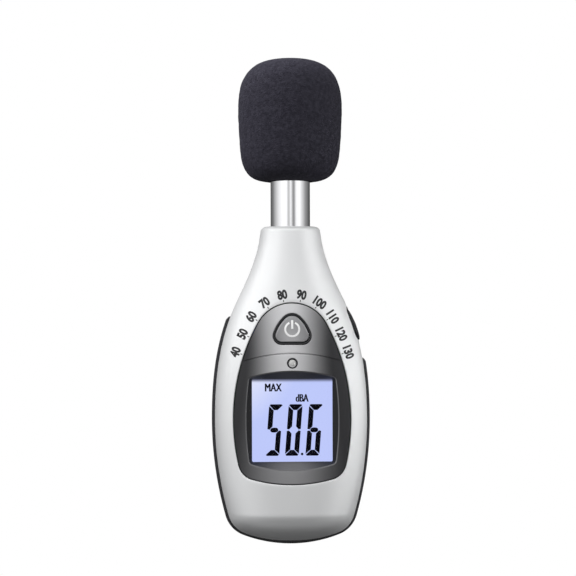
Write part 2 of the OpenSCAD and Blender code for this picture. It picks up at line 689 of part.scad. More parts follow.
/* Status light */
led_face = front_at(0, led_z);
module led_ring() color("#0d0d0f") difference() {
  y_bar(0, led_z, led_ring_r, -led_face - 0.1, -led_face + panel_t);
  y_bar(0, led_z, led_r, -led_face - 1, -1);
}
LED_PIN_R = 0.25;
module status_led() color("#e8e8e8") {
  y_bar(0, led_z, led_r, -led_face + 0.3, -led_face + 4.5);
  translate([0, -led_face + 0.3, led_z]) rotate([90, 0, 0]) intersection() {
    translate([0, 0, -led_r]) sphere(r = led_r * sqrt(2));
    cylinder(r = led_r, h = led_r);
  }
  for (x = [-0.6, 0.6]) y_bar(x, led_z, LED_PIN_R, -led_face + 4.5, backlight_y);
}

/* Microphone */
GRID_SLOT = 0.9;
CAPSULE_SEAT = 0.8;
module microphone_tube() color("silver") difference() {
  union() {
    translate([0, 0, tube_foot]) cylinder(r = tube_r, h = tube_top - tube_foot);
    translate([0, 0, tube_foot]) cylinder(r = tube_r + 1, h = flange_t);
  }
  translate([0, 0, tube_foot - 1]) cylinder(r = tube_r - tube_wall, h = tube_top - tube_foot + 2);
}
module microphone_capsule() color("darkgray")
  translate([0, 0, tube_top - CAPSULE_SEAT - capsule_h])
    cylinder(r = tube_r - tube_wall, h = capsule_h);
module microphone_grid() color("silver") difference() {
  translate([0, 0, tube_top]) cylinder(r = tube_r, h = grid_h);
  translate([0, 0, tube_top - 1]) cylinder(r = tube_r - tube_wall, h = grid_h);
  for (i = [-2 : 2]) span_box([i * 2 * GRID_SLOT - GRID_SLOT / 2, -tube_r * 0.6, tube_top],
                              [i * 2 * GRID_SLOT + GRID_SLOT / 2, tube_r * 0.6, tube_top + grid_h + 1]);
}
SEAL_Z = 3.2;
module neck_seal() color("#17171a") translate([0, 0, tube_foot + flange_t]) difference() {
  cylinder(r = tube_r + 0.9, h = SEAL_Z);
  translate([0, 0, -1]) cylinder(r = tube_r, h = SEAL_Z + 2);
}

// The foam ball: a full dome, and sides that draw in towards a rounded foot
FOAM_DOME = 19.5;
FOAM_TAPER = 0.06;
function foam_radius(u) = u >= 0
  ? foam_r * (1 - u ^ 3.05) ^ (1 / 3.05)
  : foam_r * (1 + FOAM_TAPER * u) * (1 - abs(u) ^ 5) ^ (1 / 5);
module windscreen() color("#26262b") difference() {
  waist = foam_z + foam_h - FOAM_DOME;
  dome = [for (i = [0 : 14]) let (u = sin(90 * i / 14))
    [i == 14 ? 0 : foam_radius(u), waist + FOAM_DOME * u]];
  foot = [for (i = [12 : -1 : 1]) let (u = sin(90 * i / 12))
    [i == 12 ? foam_r * 0.53 : foam_radius(-u), waist - (waist - foam_z) * u]];
  rotate_extrude() polygon(concat([[0, foam_z]], foot, dome));
  translate([0, 0, foam_z - 1])
    cylinder(r = tube_r + foam_gap, h = tube_top + grid_h + 0.3 - foam_z + 1);
}

/* Circuit board and what stands on it */
function board_right() = concat([[0, board_z0]],
  [for (i = [0 : 24]) let (z = board_z0 + (board_z1 - board_z0) * i / 24)
    [half_w(z) - board_inset, z]], [[0, board_z1]]);
module circuit_board() color("#1f5b3a") difference() {
  front_prism(closed_outline(board_right()), backlight_y, -board_y);
  both_sides() {
    for (p = [case_screw_at, foot_screw_at])
      y_bar(p[0], p[1], post_r + 0.4, backlight_y - 1, -board_y + 1);
    for (p = [board_screw_low, board_screw_high])
      y_bar(p[0], p[1], board_screw_r + screw_gap, backlight_y - 1, -board_y + 1);
  }
  side_prism(SIDE_FLANGE + 2 * SIDE_ROOM, side_inner_x - side_travel - 2 * SIDE_ROOM, belly_half);
}
module chip(x, z, w, h, t, legs) {
  span_box([x - w / 2, -board_y + 0.1, z - h / 2], [x + w / 2, -board_y + 0.1 + t, z + h / 2]);
  for (i = [0 : legs - 1], s = [-1, 1]) let (dx = (i - (legs - 1) / 2) * w / (legs + 1))
    span_box([x + dx - 0.2, -board_y, z + s * (h / 2 + 0.4) - 0.4],
             [x + dx + 0.2, -board_y + 0.5, z + s * (h / 2 + 0.4) + 0.4]);
}
CHIP = [9, 8, 1.5];
AMPLIFIER = [4.4, 3.9, 1.4];
CHIP_SPACE = 1.5;
CHIP_DROP = 12;
LEG_DROP = 3;
chip_z = board_z1 - CHIP_DROP;
amplifier_x = -CHIP[0] / 2 - CHIP_SPACE - AMPLIFIER[0] / 2;
module processor() color("#202022") chip(0, chip_z, CHIP[0], CHIP[1], CHIP[2], 8);
module amplifier_chip() color("#202022")
  chip(amplifier_x, chip_z - LEG_DROP, AMPLIFIER[0], AMPLIFIER[1], AMPLIFIER[2], 4);
CAPACITOR_R = 2;
CAPACITOR_H = 2.6;
CAPACITOR_SPACE = 4.6;
CAPACITOR_DROP = 5.1;
CAPACITOR_STEP = 1.2;
module capacitors() color("#3a3f55") for (i = [-1 : 1])
  y_bar(i * CAPACITOR_SPACE, board_z1 - CAPACITOR_DROP - CAPACITOR_STEP * abs(i), CAPACITOR_R,
        backlight_y - CAPACITOR_H, backlight_y);
CRYSTAL = [4.4, 1.6, 2.3];
crystal_x = CHIP[0] / 2 + CHIP_SPACE;
module crystal() color("silver")
  translate([crystal_x, -board_y, chip_z - LEG_DROP]) cube(CRYSTAL);
TRIMMER = [3, 2.6, 5];
TRIMMER_SLOT = [1.2, 0.5, 0.4];
TRIMMER_INSET = 5.2;
trimmer_c = [half_w(power_z) - board_inset - TRIMMER_INSET, power_z];
module level_trimmer() color("#2c56a8") difference() {
  translate([-trimmer_c[0], backlight_y - TRIMMER[1] / 2, trimmer_c[1]]) cube(TRIMMER, center = true);
  translate([-trimmer_c[0], backlight_y - TRIMMER[1], trimmer_c[1]])
    cube([TRIMMER_SLOT[0], 2 * TRIMMER_SLOT[1], TRIMMER_SLOT[2]], center = true);
}
module board_screws() color("silver") both_sides() for (p = [board_screw_low, board_screw_high]) {
  y_bar(p[0], p[1], board_screw_r, backlight_y - BOARD_SCREW_BITE, -board_y);
  y_bar(p[0], p[1], board_head_r, -board_y, -board_y + BOARD_HEAD_H);
}

/* Battery, its snap and its leads */
TERMINAL_X = 6.35;
TERMINAL_R = 2.8;
battery_mid_y = (battery_y0 + battery_y1) / 2;
module battery() color("#2f4f8f") {
  span_box([-battery_w / 2, battery_y0, battery_z], [battery_w / 2, battery_y1, battery_top]);
  for (x = [-TERMINAL_X, TERMINAL_X]) translate([x, battery_mid_y, battery_top])
    cylinder(r = TERMINAL_R, h = terminal_h);
}
SNAP_INSET = 0.5;
SNAP_HALF_T = 6;
module battery_snap() color("#1a1a1c") difference() {
  span_box([-battery_w / 2 + SNAP_INSET, battery_mid_y - SNAP_HALF_T, battery_top],
           [battery_w / 2 - SNAP_INSET, battery_mid_y + SNAP_HALF_T, battery_top + SNAP_H]);
  for (x = [-TERMINAL_X, TERMINAL_X]) translate([x, battery_mid_y, battery_top - 1])
    cylinder(r = TERMINAL_R, h = terminal_h + 1);
}

// A round lead through the given points, which keep nearly the same x
function unit(v) = v / norm(v);
module lead(path, r) {
  sides = 8;
  last = len(path) - 1;
  rings = [for (i = [0 : last])
    let (t = i == 0 ? unit(path[1] - path[0]) : i == last ? unit(path[last] - path[last - 1])
           : unit(unit(path[i + 1] - path[i]) + unit(path[i] - path[i - 1])),
         e1 = unit([1, 0, 0] - t[0] * t), e2 = cross(t, e1))
    [for (k = [0 : sides - 1]) let (a = 360 * k / sides) path[i] + r * (cos(a) * e1 + sin(a) * e2)]];
  skin = [for (i = [0 : last - 1], k = [0 : sides - 1])
    let (a = i * sides + k, b = i * sides + (k + 1) % sides)
    each [[a, b + sides, b], [a, a + sides, b + sides]]];
  ends = [[for (k = [0 : sides - 1]) k], [for (k = [sides - 1 : -1 : 0]) last * sides + k]];
  polyhedron([for (ring = rings) each ring], concat(skin, ends));
}
snap_top = battery_top + SNAP_H;
function battery_lead_path(side) = [
  [side * LEAD_X, LEAD_Y, snap_top], [side * LEAD_X, LEAD_Y, snap_top + 3],
  [side * LEAD_X, LEAD_Y - 0.3, snap_top + 4.4], [side * LEAD_X, LEAD_Y - 1.3, snap_top + 5.8],
  [side * LEAD_X, LEAD_Y - 3, snap_top + 6.9], [side * LEAD_X, 0, snap_top + 7.9],
  [side * LEAD_X, -1.8, snap_top + 8.7], [side * LEAD_X, -2.9, snap_top + 9],
  [side * LEAD_X, -board_y, snap_top + 9]];
module battery_lead_plus() color("firebrick") lead(battery_lead_path(1), LEAD_R);
module battery_lead_minus() color("#111111") lead(battery_lead_path(-1), LEAD_R);
MIC_LEAD_R = 0.45;
MIC_LEAD_X = 1.6;
pad_z = board_z1 - 2.5;
function microphone_lead_path(side) = [
  [side * MIC_LEAD_X, 0, tube_top - CAPSULE_SEAT - capsule_h], [side * MIC_LEAD_X, 0.3, tube_foot + 24],
  [side * MIC_LEAD_X, 0, tube_foot + 4], [side * MIC_LEAD_X, -0.2, pad_z + 2.6],
  [side * MIC_LEAD_X, -0.9, pad_z + 1.2], [side * MIC_LEAD_X, -2, pad_z + 0.3],
  [side * MIC_LEAD_X, -3, pad_z], [side * MIC_LEAD_X, -board_y, pad_z]];
module microphone_leads() color("gold") for (side = [-1, 1]) lead(microphone_lead_path(side), MIC_LEAD_R);

/* Battery door */
THUMB_R = 6;
THUMB_DEPTH = 0.5;
THUMB_SPACE = 2;
THUMB_DROP = 4;
module battery_door() color("#2a2a2d") intersection() {
  half_solid(0, 0);
  difference() {
    span_box([-door_half, door_y, door_z0], [door_half, rear_depth + 1, door_z1]);
    for (i = [0 : 3]) let (z = door_z1 - THUMB_DROP - THUMB_SPACE * i)
      span_box([-THUMB_R + i, rear_depth - THUMB_DEPTH, z - THUMB_SPACE / 2],
               [THUMB_R - i, rear_depth + 1, z]);
  }
}
PAD_INSET = [3, 8];
module door_pad() color("#3c3c40")
  span_box([-box_half + PAD_INSET[0], door_y - PAD_T, box_z0 + PAD_INSET[1]],
           [box_half - PAD_INSET[0], door_y, battery_top - PAD_INSET[1]]);

/* Fasteners */
HEAD_H = 1.6;
BOARD_HEAD_H = 1;
module case_screws() color("silver") both_sides() for (p = [case_screw_at, foot_screw_at]) difference() {
  union() {
    y_bar(p[0], p[1], screw_r, -SCREW_BITE, seat_y);
    y_bar(p[0], p[1], head_r, seat_y, seat_y + HEAD_H);
  }
  for (turn = [0, 90]) translate([p[0], seat_y + HEAD_H, p[1]]) rotate([0, turn, 0])
    cube([2 * head_r * 0.62, 1.4, 0.6], center = true);
}
module tripod_insert() color("goldenrod") difference() {
  y_bar(0, socket_z, insert_r, rear_depth - socket_depth - 0.8, rear_depth);
  y_bar(0, socket_z, socket_r, rear_depth - socket_depth, rear_depth + 1);
}

place() front_shell();
place() rear_shell();
place() grip_band();
place() display_panel();
place() display_window();
place() lcd_glass();
place() lcd_backlight();
place() zebra_strip();
place() power_button();
place() power_seal();
place() power_switch();
place() power_plunger();
place() side_button();
place() side_switch();
place() side_plunger();
place() status_led();
place() led_ring();
place() microphone_tube();
place() microphone_capsule();
place() microphone_grid();
place() microphone_leads();
place() neck_seal();
place() windscreen();
place() circuit_board();
place() processor();
place() amplifier_chip();
place() capacitors();
place() crystal();
place() level_trimmer();
place() board_screws();
place() battery();
place() battery_snap();
place() battery_lead_plus();
place() battery_lead_minus();
place() battery_door();
place() door_pad();
place() case_screws();
place() tripod_insert();
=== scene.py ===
"""Handheld sound level meter: lacquered housing, display panel, barrel and foam windscreen."""

import math

import bmesh
import bpy
import numpy as np
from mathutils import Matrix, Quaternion, Vector


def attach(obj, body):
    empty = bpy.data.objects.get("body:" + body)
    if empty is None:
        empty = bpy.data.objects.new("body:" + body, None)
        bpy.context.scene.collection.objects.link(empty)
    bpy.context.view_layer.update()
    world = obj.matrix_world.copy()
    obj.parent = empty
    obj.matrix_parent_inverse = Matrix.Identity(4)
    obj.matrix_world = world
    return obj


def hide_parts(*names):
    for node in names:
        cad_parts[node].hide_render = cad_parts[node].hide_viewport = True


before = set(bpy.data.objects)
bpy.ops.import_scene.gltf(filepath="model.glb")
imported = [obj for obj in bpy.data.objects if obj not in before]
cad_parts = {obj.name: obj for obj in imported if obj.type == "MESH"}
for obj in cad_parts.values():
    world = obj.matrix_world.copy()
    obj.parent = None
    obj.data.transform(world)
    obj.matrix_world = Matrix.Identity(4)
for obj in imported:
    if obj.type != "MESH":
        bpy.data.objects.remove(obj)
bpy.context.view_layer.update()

# ---- sizes, in millimetres
# The drawing stands on its foot with the parting plane at y = 0. ORIGIN is the mouth of the
# tripod socket in that drawing, and the centre of the frame.
MM = 0.001
REAR_DEPTH = 17.5
ORIGIN = np.array([0.0, REAR_DEPTH, 68.6])

HOUSING_H = 105.8
NECK_EDGE_R = 1.7
NECK_Z = HOUSING_H - NECK_EDGE_R
GRIP_PROUD = 1.05
FOOT_Z = GRIP_PROUD
BELLY = (25.4, 41.8)
SHOULDER = (17.2, 82.7)
NECK_HALF = 10.0
SHOULDER_SLOPE = -0.5
NECK_SLOPE = -0.1
SIDE_R = 117.3
CORNER_R = 8.7
FOOT_R = 43.6
SIDE_C = (BELLY[0] - SIDE_R, BELLY[1])
FOOT_C = (0.0, FOOT_Z + FOOT_R)
CORNER_C = (12.556, 12.087)
FOOT_A = math.radians(-68.91)
SIDE_A = math.radians(-15.88)

CROWN_D = 15.5
SHOULDER_D = 12.6
NECK_D = 9.2
FALL_Z = 50.0
SHOULDER_FALL = -0.17
NECK_FALL = -0.12
FRONT_RISE = 10.45
FRONT_RISE_N = 1.7
BELLY_POWER = 2.8
NECK_POWER = 2.3

PANEL_HALF = 19.25
PANEL_Z = 42.3
PANEL_TOP = 80.5
PANEL_BOTTOM = 21.3
PANEL_SIDE_R = 66.0
PANEL_BOTTOM_R = 52.0
PANEL_CORNER_R = 6.0
SPLIT_CENTRE_Z = 63.9
SPLIT_R = 53.4
PANEL_GAP = 0.26
GROOVE = 0.16
GROOVE_HALF_LENGTH = 16.6
GROOVE_DEPTH = 0.42
PANEL_SINK = 0.05

VIEW_Z = PANEL_Z - 0.2
VIEW_HALF = (13.15, 13.5)
VIEW_CORNER_R = 0.5
RECESS_HALF = (15.25, 16.2)
RECESS_SIDE_R = 97.6
RECESS_TOP_R = 48.0
RECESS_CORNER_R = 1.6
RIM_OUT = 0.12
CHAMFER = 0.26
RECESS_FLOOR_Y = -12.75
LCD_Y = -11.05

POWER_Z = 71.9
POWER_HALF = 5.65
POWER_H = 8.9
POWER_FACE_Y = -14.66
KEY_PROUD = 0.12
KEY_DOME = 0.42
KEY_DOME_HALF_H = 4.6
SEAL_W = 0.7
LED_Z = 60.8
LED_RING_R = 1.8
LED_R = 1.15

SIDE_Z = 73.5
SIDE_Y = -3.3
SIDE_H = 11.0
SIDE_W = 5.6
SIDE_REACH = (SIDE_H - SIDE_W) / 2
SIDE_BULGE = 0.85
SIDE_SUNK = 0.35
SLOT_GAP = 0.18
SLOT_SNAP = 0.14

TUBE_R = 6.6
TUBE_FOOT = 104.2
TUBE_TOP = 133.5
TUBE_BURIED = 92.0
TUBE_WALL = 1.1
TUBE_EDGE = 0.3
FOAM_R = 17.5
FOAM_Z = (121.0, 143.0, 161.9)
FOAM_BORE = (6.68, 136.8)
FOAM_TAPER = 0.06
FOAM_FOOT_SHARE = 0.53
FOAM_FOOT_N = 5
FOAM_DOME_N = 3.05
FOAM_FAST = 0.10
FOAM_SLOW = 0.14
FOAM_INWARD = 0.12
FOAM_EVEN_R = 7.6

ANGLES = np.linspace(0.0, 2 * np.pi, 720, endpoint=False)
RAYS = np.column_stack([np.cos(ANGLES), np.sin(ANGLES)])
MIRROR = np.array([-1.0, 1.0])


# ---- curves of the housing
def hermite(t, a, b, slope_a, slope_b, span):
    """A cubic from a to b over the span, leaving with slope_a and arriving with slope_b."""
    return (
        (2 * t**3 - 3 * t**2 + 1) * a
        + (3 * t**2 - 2 * t**3) * b
        + (t**3 - 2 * t**2 + t) * slope_a * span
        + (t**3 - t**2) * slope_b * span
    )


def half_width(z):
    """Half the housing's width at height z: the foot arc, the corner arc and the side arc from
    the bottom up, two cubics to the shoulder and the neck, and a quarter round at the top."""
    z = np.asarray(z, float)
    foot = np.sqrt(np.clip(FOOT_R**2 - (z - FOOT_C[1]) ** 2, 0, None))
    corner = CORNER_C[0] + np.sqrt(np.clip(CORNER_R**2 - (z - CORNER_C[1]) ** 2, 0, None))
    side = SIDE_C[0] + np.sqrt(np.clip(SIDE_R**2 - (z - SIDE_C[1]) ** 2, 0, None))
    rise = SHOULDER[1] - BELLY[1]
    low = hermite((z - BELLY[1]) / rise, BELLY[0], SHOULDER[0], 0, SHOULDER_SLOPE, rise)
    span = NECK_Z - SHOULDER[1]
    high = hermite(
        (z - SHOULDER[1]) / span, SHOULDER[0], NECK_HALF, SHOULDER_SLOPE, NECK_SLOPE, span
    )
    over = np.clip(z - NECK_Z, 0, NECK_EDGE_R)
    top = NECK_HALF - NECK_EDGE_R + np.sqrt(NECK_EDGE_R**2 - over**2)
    foot_top = FOOT_C[1] + FOOT_R * math.sin(FOOT_A)
    corner_top = CORNER_C[1] + CORNER_R * math.sin(SIDE_A)
    return np.select(
        [z < foot_top, z < corner_top, z < BELLY[1], z < SHOULDER[1], z < NECK_Z],
        [foot, corner, side, low, high],
        top,
    )


def rounded(share, n):
    """Height of a rounded square of exponent n at that share of its half width."""
    return (1 - np.clip(share, 0, 1) ** n) ** (1 / n)


def front_depth(z):
    """Depth of the front half at height z: a rounded rise from the foot, level up to FALL_Z,
    then two cubics to the shoulder and the neck, less the round of the top edge."""
    span = SHOULDER[1] - FALL_Z
    low = hermite((z - FALL_Z) / span, CROWN_D, SHOULDER_D, 0, SHOULDER_FALL, span)
    rest = HOUSING_H - SHOULDER[1]
    high = hermite((z - SHOULDER[1]) / rest, SHOULDER_D, NECK_D, SHOULDER_FALL, NECK_FALL, rest)
    level = np.select([z <= FALL_Z, z < SHOULDER[1]], [CROWN_D + 0 * z, low], high)
    over = np.clip(z - NECK_Z, 0, NECK_EDGE_R)
    edge = NECK_EDGE_R - np.sqrt(NECK_EDGE_R**2 - over**2)
    return level * rounded((FOOT_Z + FRONT_RISE - z) / FRONT_RISE, FRONT_RISE_N) - edge


def section_power(z):
    """Exponent of the cross-section at height z, from the belly's to the neck's."""
    t = np.clip((z - BELLY[1]) / (NECK_Z - BELLY[1]), 0, 1)
    return BELLY_POWER + (NECK_POWER - BELLY_POWER) * t


def front_at(x, z):
    """Depth of the front surface over a place: the depth at that height times a rounded-square
    fall-off with the share of the half width."""
    share = np.abs(x) / np.maximum(half_width(z), 1e-6)
    return front_depth(z) * rounded(share, section_power(z))


def flank(y, z):
    """Half the housing's width at depth y in front of the parting plane and height z: the
    section's curve solved for x."""
    return half_width(z) * rounded(np.abs(y) / front_depth(z), section_power(z))


def skin_y(x, z):
    """Where the front surface lies over a place, as y."""
    return -front_at(x, z)


def panel_y(x, z):
    """The same for the panel's face, which lies a little below the skin."""
    return PANEL_SINK - front_at(x, z)


def key_y(x, z):
    """The same for the key: domed, falling with the square of the distance from its middle."""
    d2 = (x / POWER_HALF) ** 2 + ((z - POWER_Z) / KEY_DOME_HALF_H) ** 2
    return POWER_FACE_Y - KEY_PROUD + KEY_DOME * np.clip(d2, 0, 1.3)


def column(*values):
    """The values as one column, to be spread along rows."""
    return np.array(values)[:, None]


def arc(centre, radius, start, end, steps):
    """Points on an arc from start to end, in radians."""
    a = np.linspace(start, end, steps)
    return np.column_stack([centre[0] + radius * np.cos(a), centre[1] + radius * np.sin(a)])


def arcs(*parts):
    """Arcs that follow on from one another, each given as for one arc."""
    return np.concatenate([arc(*parts[0])] + [arc(*part)[1:] for part in parts[1:]])


def full_turn(steps):
    """Evenly spaced angles all the way round."""
    return np.linspace(0, 2 * np.pi, steps, endpoint=False)


def mirror_closed(right):
    """A closed outline from its right half."""
    return np.concatenate([right, right[::-1] * MIRROR])


def lower_side():
    """The right side of the housing from the foot to the belly."""
    return arcs((FOOT_C, FOOT_R, -np.pi / 2, FOOT_A, 60),
                (CORNER_C, CORNER_R, FOOT_A, SIDE_A, 40),
                (SIDE_C, SIDE_R, SIDE_A, 0, 60))


def right_side(z_end, steps):
    """The right side of the housing from the foot up to z_end."""
    z = np.linspace(BELLY[1], z_end, steps)[1:]
    return np.concatenate([lower_side(), np.column_stack([half_width(z), z])])


def housing_outline():
    """The whole outline of the housing, with the rounded corners of its neck."""
    edge = arc((NECK_HALF - NECK_EDGE_R, NECK_Z), NECK_EDGE_R, 0, np.pi / 2, 24)
    return mirror_closed(np.concatenate([right_side(NECK_Z, 160), edge[1:]]))


def meet(c1, d1, c2, d2, turn):
    """The point at distance d1 from c1 and d2 from c2, on the side that turn says."""
    c1 = np.array(c1, float)
    c2 = np.array(c2, float)
    d = np.linalg.norm(c2 - c1)
    u = (c2 - c1) / d
    a = (d1 * d1 - d2 * d2 + d * d) / (2 * d)
    h = math.sqrt(d1 * d1 - a * a)
    return c1 + a * u + turn * h * np.array([-u[1], u[0]])


def bearing(start, end):
    """Angle of the line from start to end."""
    return math.atan2(end[1] - start[1], end[0] - start[0])


def panel_outline(inset=0.0):
    """The opening for the panel: a bottom arc, tight corners, long side arcs and a top arc."""
    height = PANEL_TOP - PANEL_Z
    top_r = (PANEL_SIDE_R**2 - (PANEL_SIDE_R - PANEL_HALF) ** 2 - height**2) / (
        2 * (PANEL_SIDE_R - height)
    )
    top_c = (0.0, PANEL_TOP - top_r)
    side_c = (PANEL_HALF - PANEL_SIDE_R, PANEL_Z)
    bottom_c = (0.0, PANEL_BOTTOM + PANEL_BOTTOM_R)
    r = PANEL_CORNER_R
    corner_c = meet(side_c, PANEL_SIDE_R - r, bottom_c, PANEL_BOTTOM_R - r, -1)
    side_a = bearing(side_c, corner_c)
    top_a = bearing(side_c, top_c)
    bottom_a = bearing(bottom_c, corner_c)
    return mirror_closed(arcs(
        (bottom_c, PANEL_BOTTOM_R - inset, -np.pi / 2, bottom_a, 40),
        (corner_c, r - inset, bottom_a, side_a, 30),
        (side_c, PANEL_SIDE_R - inset, side_a, top_a, 90),
        (top_c, top_r - inset, top_a, np.pi / 2, 60)))


def recess_outline(inset):
    """The edge of the display recess: four long arcs joined by tight corners."""
    side_c = (RECESS_HALF[0] - RECESS_SIDE_R, VIEW_Z)
    top_c = (0.0, VIEW_Z + RECESS_HALF[1] - RECESS_TOP_R)
    r = RECESS_CORNER_R
    corner_c = meet(side_c, RECESS_SIDE_R - r, top_c, RECESS_TOP_R - r, 1)
    side_a = bearing(side_c, corner_c)
    top_a = bearing(top_c, corner_c)
    quarter = arcs((side_c, RECESS_SIDE_R - inset, 0, side_a, 20),
                   (corner_c, r - inset, side_a, top_a, 20),
                   (top_c, RECESS_TOP_R - inset, top_a, np.pi / 2, 30))
    lower = quarter[::-1] * np.array([1.0, -1.0]) + np.array([0.0, 2 * VIEW_Z])
    return mirror_closed(np.concatenate([lower, quarter[1:]]))


def view_outline():
    """The lit part of the display: a rectangle with small round corners."""
    r = VIEW_CORNER_R
    w = VIEW_HALF[0] - r
    h = VIEW_HALF[1] - r
    corners = ((w, h), (-w, h), (-w, -h), (w, -h))
    return np.concatenate([
        arc((x, VIEW_Z + z), r, k * np.pi / 2, (k + 1) * np.pi / 2, 9)
        for k, (x, z) in enumerate(corners)
    ])


def power_outline(grow=0.0):
    """The rounded triangle of the power button: round feet, bowed sides and a round top."""
    top_r = 3.3
    foot_r = 2.2
    side_r = 13.0
    top_c = (0.0, POWER_Z + POWER_H / 2 - top_r)
    foot_c = (POWER_HALF - foot_r, POWER_Z - POWER_H / 2 + foot_r)
    side_c = meet(foot_c, side_r - foot_r, top_c, side_r - top_r, 1)
    foot_a = bearing(side_c, foot_c)
    top_a = bearing(side_c, top_c)
    foot = np.array([[0.0, POWER_Z - POWER_H / 2 - grow]])
    return mirror_closed(np.concatenate([foot, arcs(
        (foot_c, foot_r + grow, -np.pi / 2, foot_a, 20),
        (side_c, side_r + grow, foot_a, top_a, 24),
        (top_c, top_r + grow, top_a, np.pi / 2, 20))]))


def reach(outline, centre):
    """How far a ray from the centre goes at each angle before it meets the outline: each ray is
    crossed with every edge of the outline at once, and the farthest true crossing is kept."""
    a = outline - np.array(centre)
    b = np.roll(a, -1, axis=0)
    e = b - a
    u = RAYS[:, :1]
    v = RAYS[:, 1:]
    cross = u * e[:, 1] - v * e[:, 0]
    cross = np.where(np.abs(cross) < 1e-12, np.nan, cross)
    t = (a[:, 0] * e[:, 1] - a[:, 1] * e[:, 0]) / cross
    s = (a[:, 0] * v - a[:, 1] * u) / cross
    good = (t > 0) & (s >= -1e-6) & (s <= 1 + 1e-6)
    return np.nanmax(np.where(good, t, np.nan), axis=1)


def circle_reach(centre, circle_c, radius, far):
    """How far a ray from the centre goes before it meets a circle, at its far or near side."""
    v = np.array(centre) - np.array(circle_c)
    b = RAYS @ v
    c = v @ v - radius**2
    root = np.sqrt(np.clip(b * b - c, 0, None))
    t = -b + root if far else -b - root
    return np.where((b * b - c < 0) | (t <= 0), np.inf, t)


def around(centre, radii):
    """Places x and z at those distances from the centre, one row for each list of radii."""
    return centre[0] + radii * RAYS[:, 0], centre[1] + radii * RAYS[:, 1]


def xyz(x, y, z):
    """Points from their coordinates, each spread to the shape that all of them share."""
    return np.stack(np.broadcast_arrays(x, y, z), axis=-1)


def on_surface(depth_at, x, z, lift=0.0):
    """Points at those places on a surface whose depth is depth_at(x, z), raised by lift."""
    return xyz(x, depth_at(x, z) - lift, z)


def ray_rows(centre, radii, y):
    """Rows of points at those ray lengths from the centre and those depths."""
    x, z = around(centre, radii)
    return xyz(x, y, z)


def face_rows(depth_at, centre, start, end, shares):
    """Rows over a surface at those shares of the way from one list of ray lengths to another."""
    x, z = around(centre, start + (end - start) * shares[:, None])
    return on_surface(depth_at, x, z)


def rolled_edge(depth_at, centre, edge, lip, drop, steps):
    """Rows up a wall at those ray lengths and over a quarter round, short of the surface that
    the round meets lip further out, or further in where lip is negative."""
    a = np.linspace(0, np.pi / 2, steps)[:-1, None]
    base = depth_at(*around(centre, edge + lip))
    wall = ray_rows(centre, edge[None], base + drop)
    roll = ray_rows(centre, edge + lip * (1 - np.cos(a)), base + abs(lip) * (1 - np.sin(a)))
    return np.concatenate([wall, roll])


# ---- mesh helpers
def grid(points, inside, closed=True):
    """Vertices and four-sided faces of a grid of points (rows, columns, 3), whose last column
    joins its first where it is closed. Faces look away from the inside point."""
    rows, columns = points.shape[:2]
    index = np.arange(rows * columns).reshape(rows, columns)
    if closed:
        index = np.concatenate([index, index[:, :1]], axis=1)
    faces = np.stack(
        [index[:-1, :-1], index[:-1, 1:], index[1:, 1:], index[1:, :-1]], axis=-1
    ).reshape(-1, 4)
    verts = points.reshape(-1, 3)
    a, b, c, d = (verts[faces[:, k]] for k in range(4))
    outward = (a + b + c + d) / 4 - np.asarray(inside, float)
    if (np.cross(c - a, d - b) * outward).sum() < 0:
        faces = faces[:, ::-1]
    return verts, faces


def fan(ring, centre, outward):
    """A closing fan between a ring of points and one centre point, looking along outward."""
    count = len(ring)
    verts = np.vstack([ring, centre])
    index = np.arange(count)
    faces = np.column_stack([index, np.roll(index, -1), np.full(count, count)])
    a, b, c = (verts[faces[:, k]] for k in range(3))
    if (np.cross(b - a, c - a) @ np.asarray(outward, float)).sum() < 0:
        faces = faces[:, ::-1]
    return verts, faces


def add_object(name, data):
    """A new object with the data, linked to the scene."""
    obj = bpy.data.objects.new(name, data)
    bpy.context.scene.collection.objects.link(obj)
    return obj


def triples(items, attribute):
    """An attribute of three numbers of every vertex or face, as rows."""
    flat = np.zeros(len(items) * 3, np.float32)
    items.foreach_get(attribute, flat)
    return flat.reshape(-1, 3).astype(float)


def make_piece(name, surfaces, body, material, weld=0.002, smooth_angle=35.0):
    """One object from several (vertices, faces) surfaces in the drawing's millimetres. Points
    closer than weld are merged, and edges sharper than smooth_angle stay crisp."""
    verts = []
    faces = []
    count = 0
    for v, f in surfaces:
        verts.append(np.asarray(v, float))
        own = f.tolist() if isinstance(f, np.ndarray) else f
        faces += [[i + count for i in face] for face in own]
        count += len(v)
    points = (np.concatenate(verts) - ORIGIN) * MM
    mesh = bpy.data.meshes.new(name)
    mesh.from_pydata(points.tolist(), [], faces)
    mesh.validate()
    obj = add_object(name, mesh)
    if weld:
        modifier = obj.modifiers.new("weld", "WELD")
        modifier.merge_threshold = weld * MM
        apply_modifiers(obj)
    obj.data.shade_smooth()
    if smooth_angle:
        obj.data.set_sharp_from_angle(angle=math.radians(smooth_angle))
    obj.data.materials.append(material)
    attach(obj, body)
    return obj


def apply_modifiers(obj):
    """The mesh as its modifiers leave it becomes the object's own."""
    graph = bpy.context.evaluated_depsgraph_get()
    mesh = bpy.data.meshes.new_from_object(obj.evaluated_get(graph))
    old = obj.data
    obj.modifiers.clear()
    obj.data = mesh
    bpy.data.meshes.remove(old)


def turned(profile, steps):
    """A profile of (radius, height) points turned round an axis: the two coordinates across
    the axis, and the one along it."""
    profile = np.asarray(profile, float)
    a = full_turn(steps)
    return profile[:, :1] * np.cos(a), profile[:, :1] * np.sin(a), profile[:, 1:]


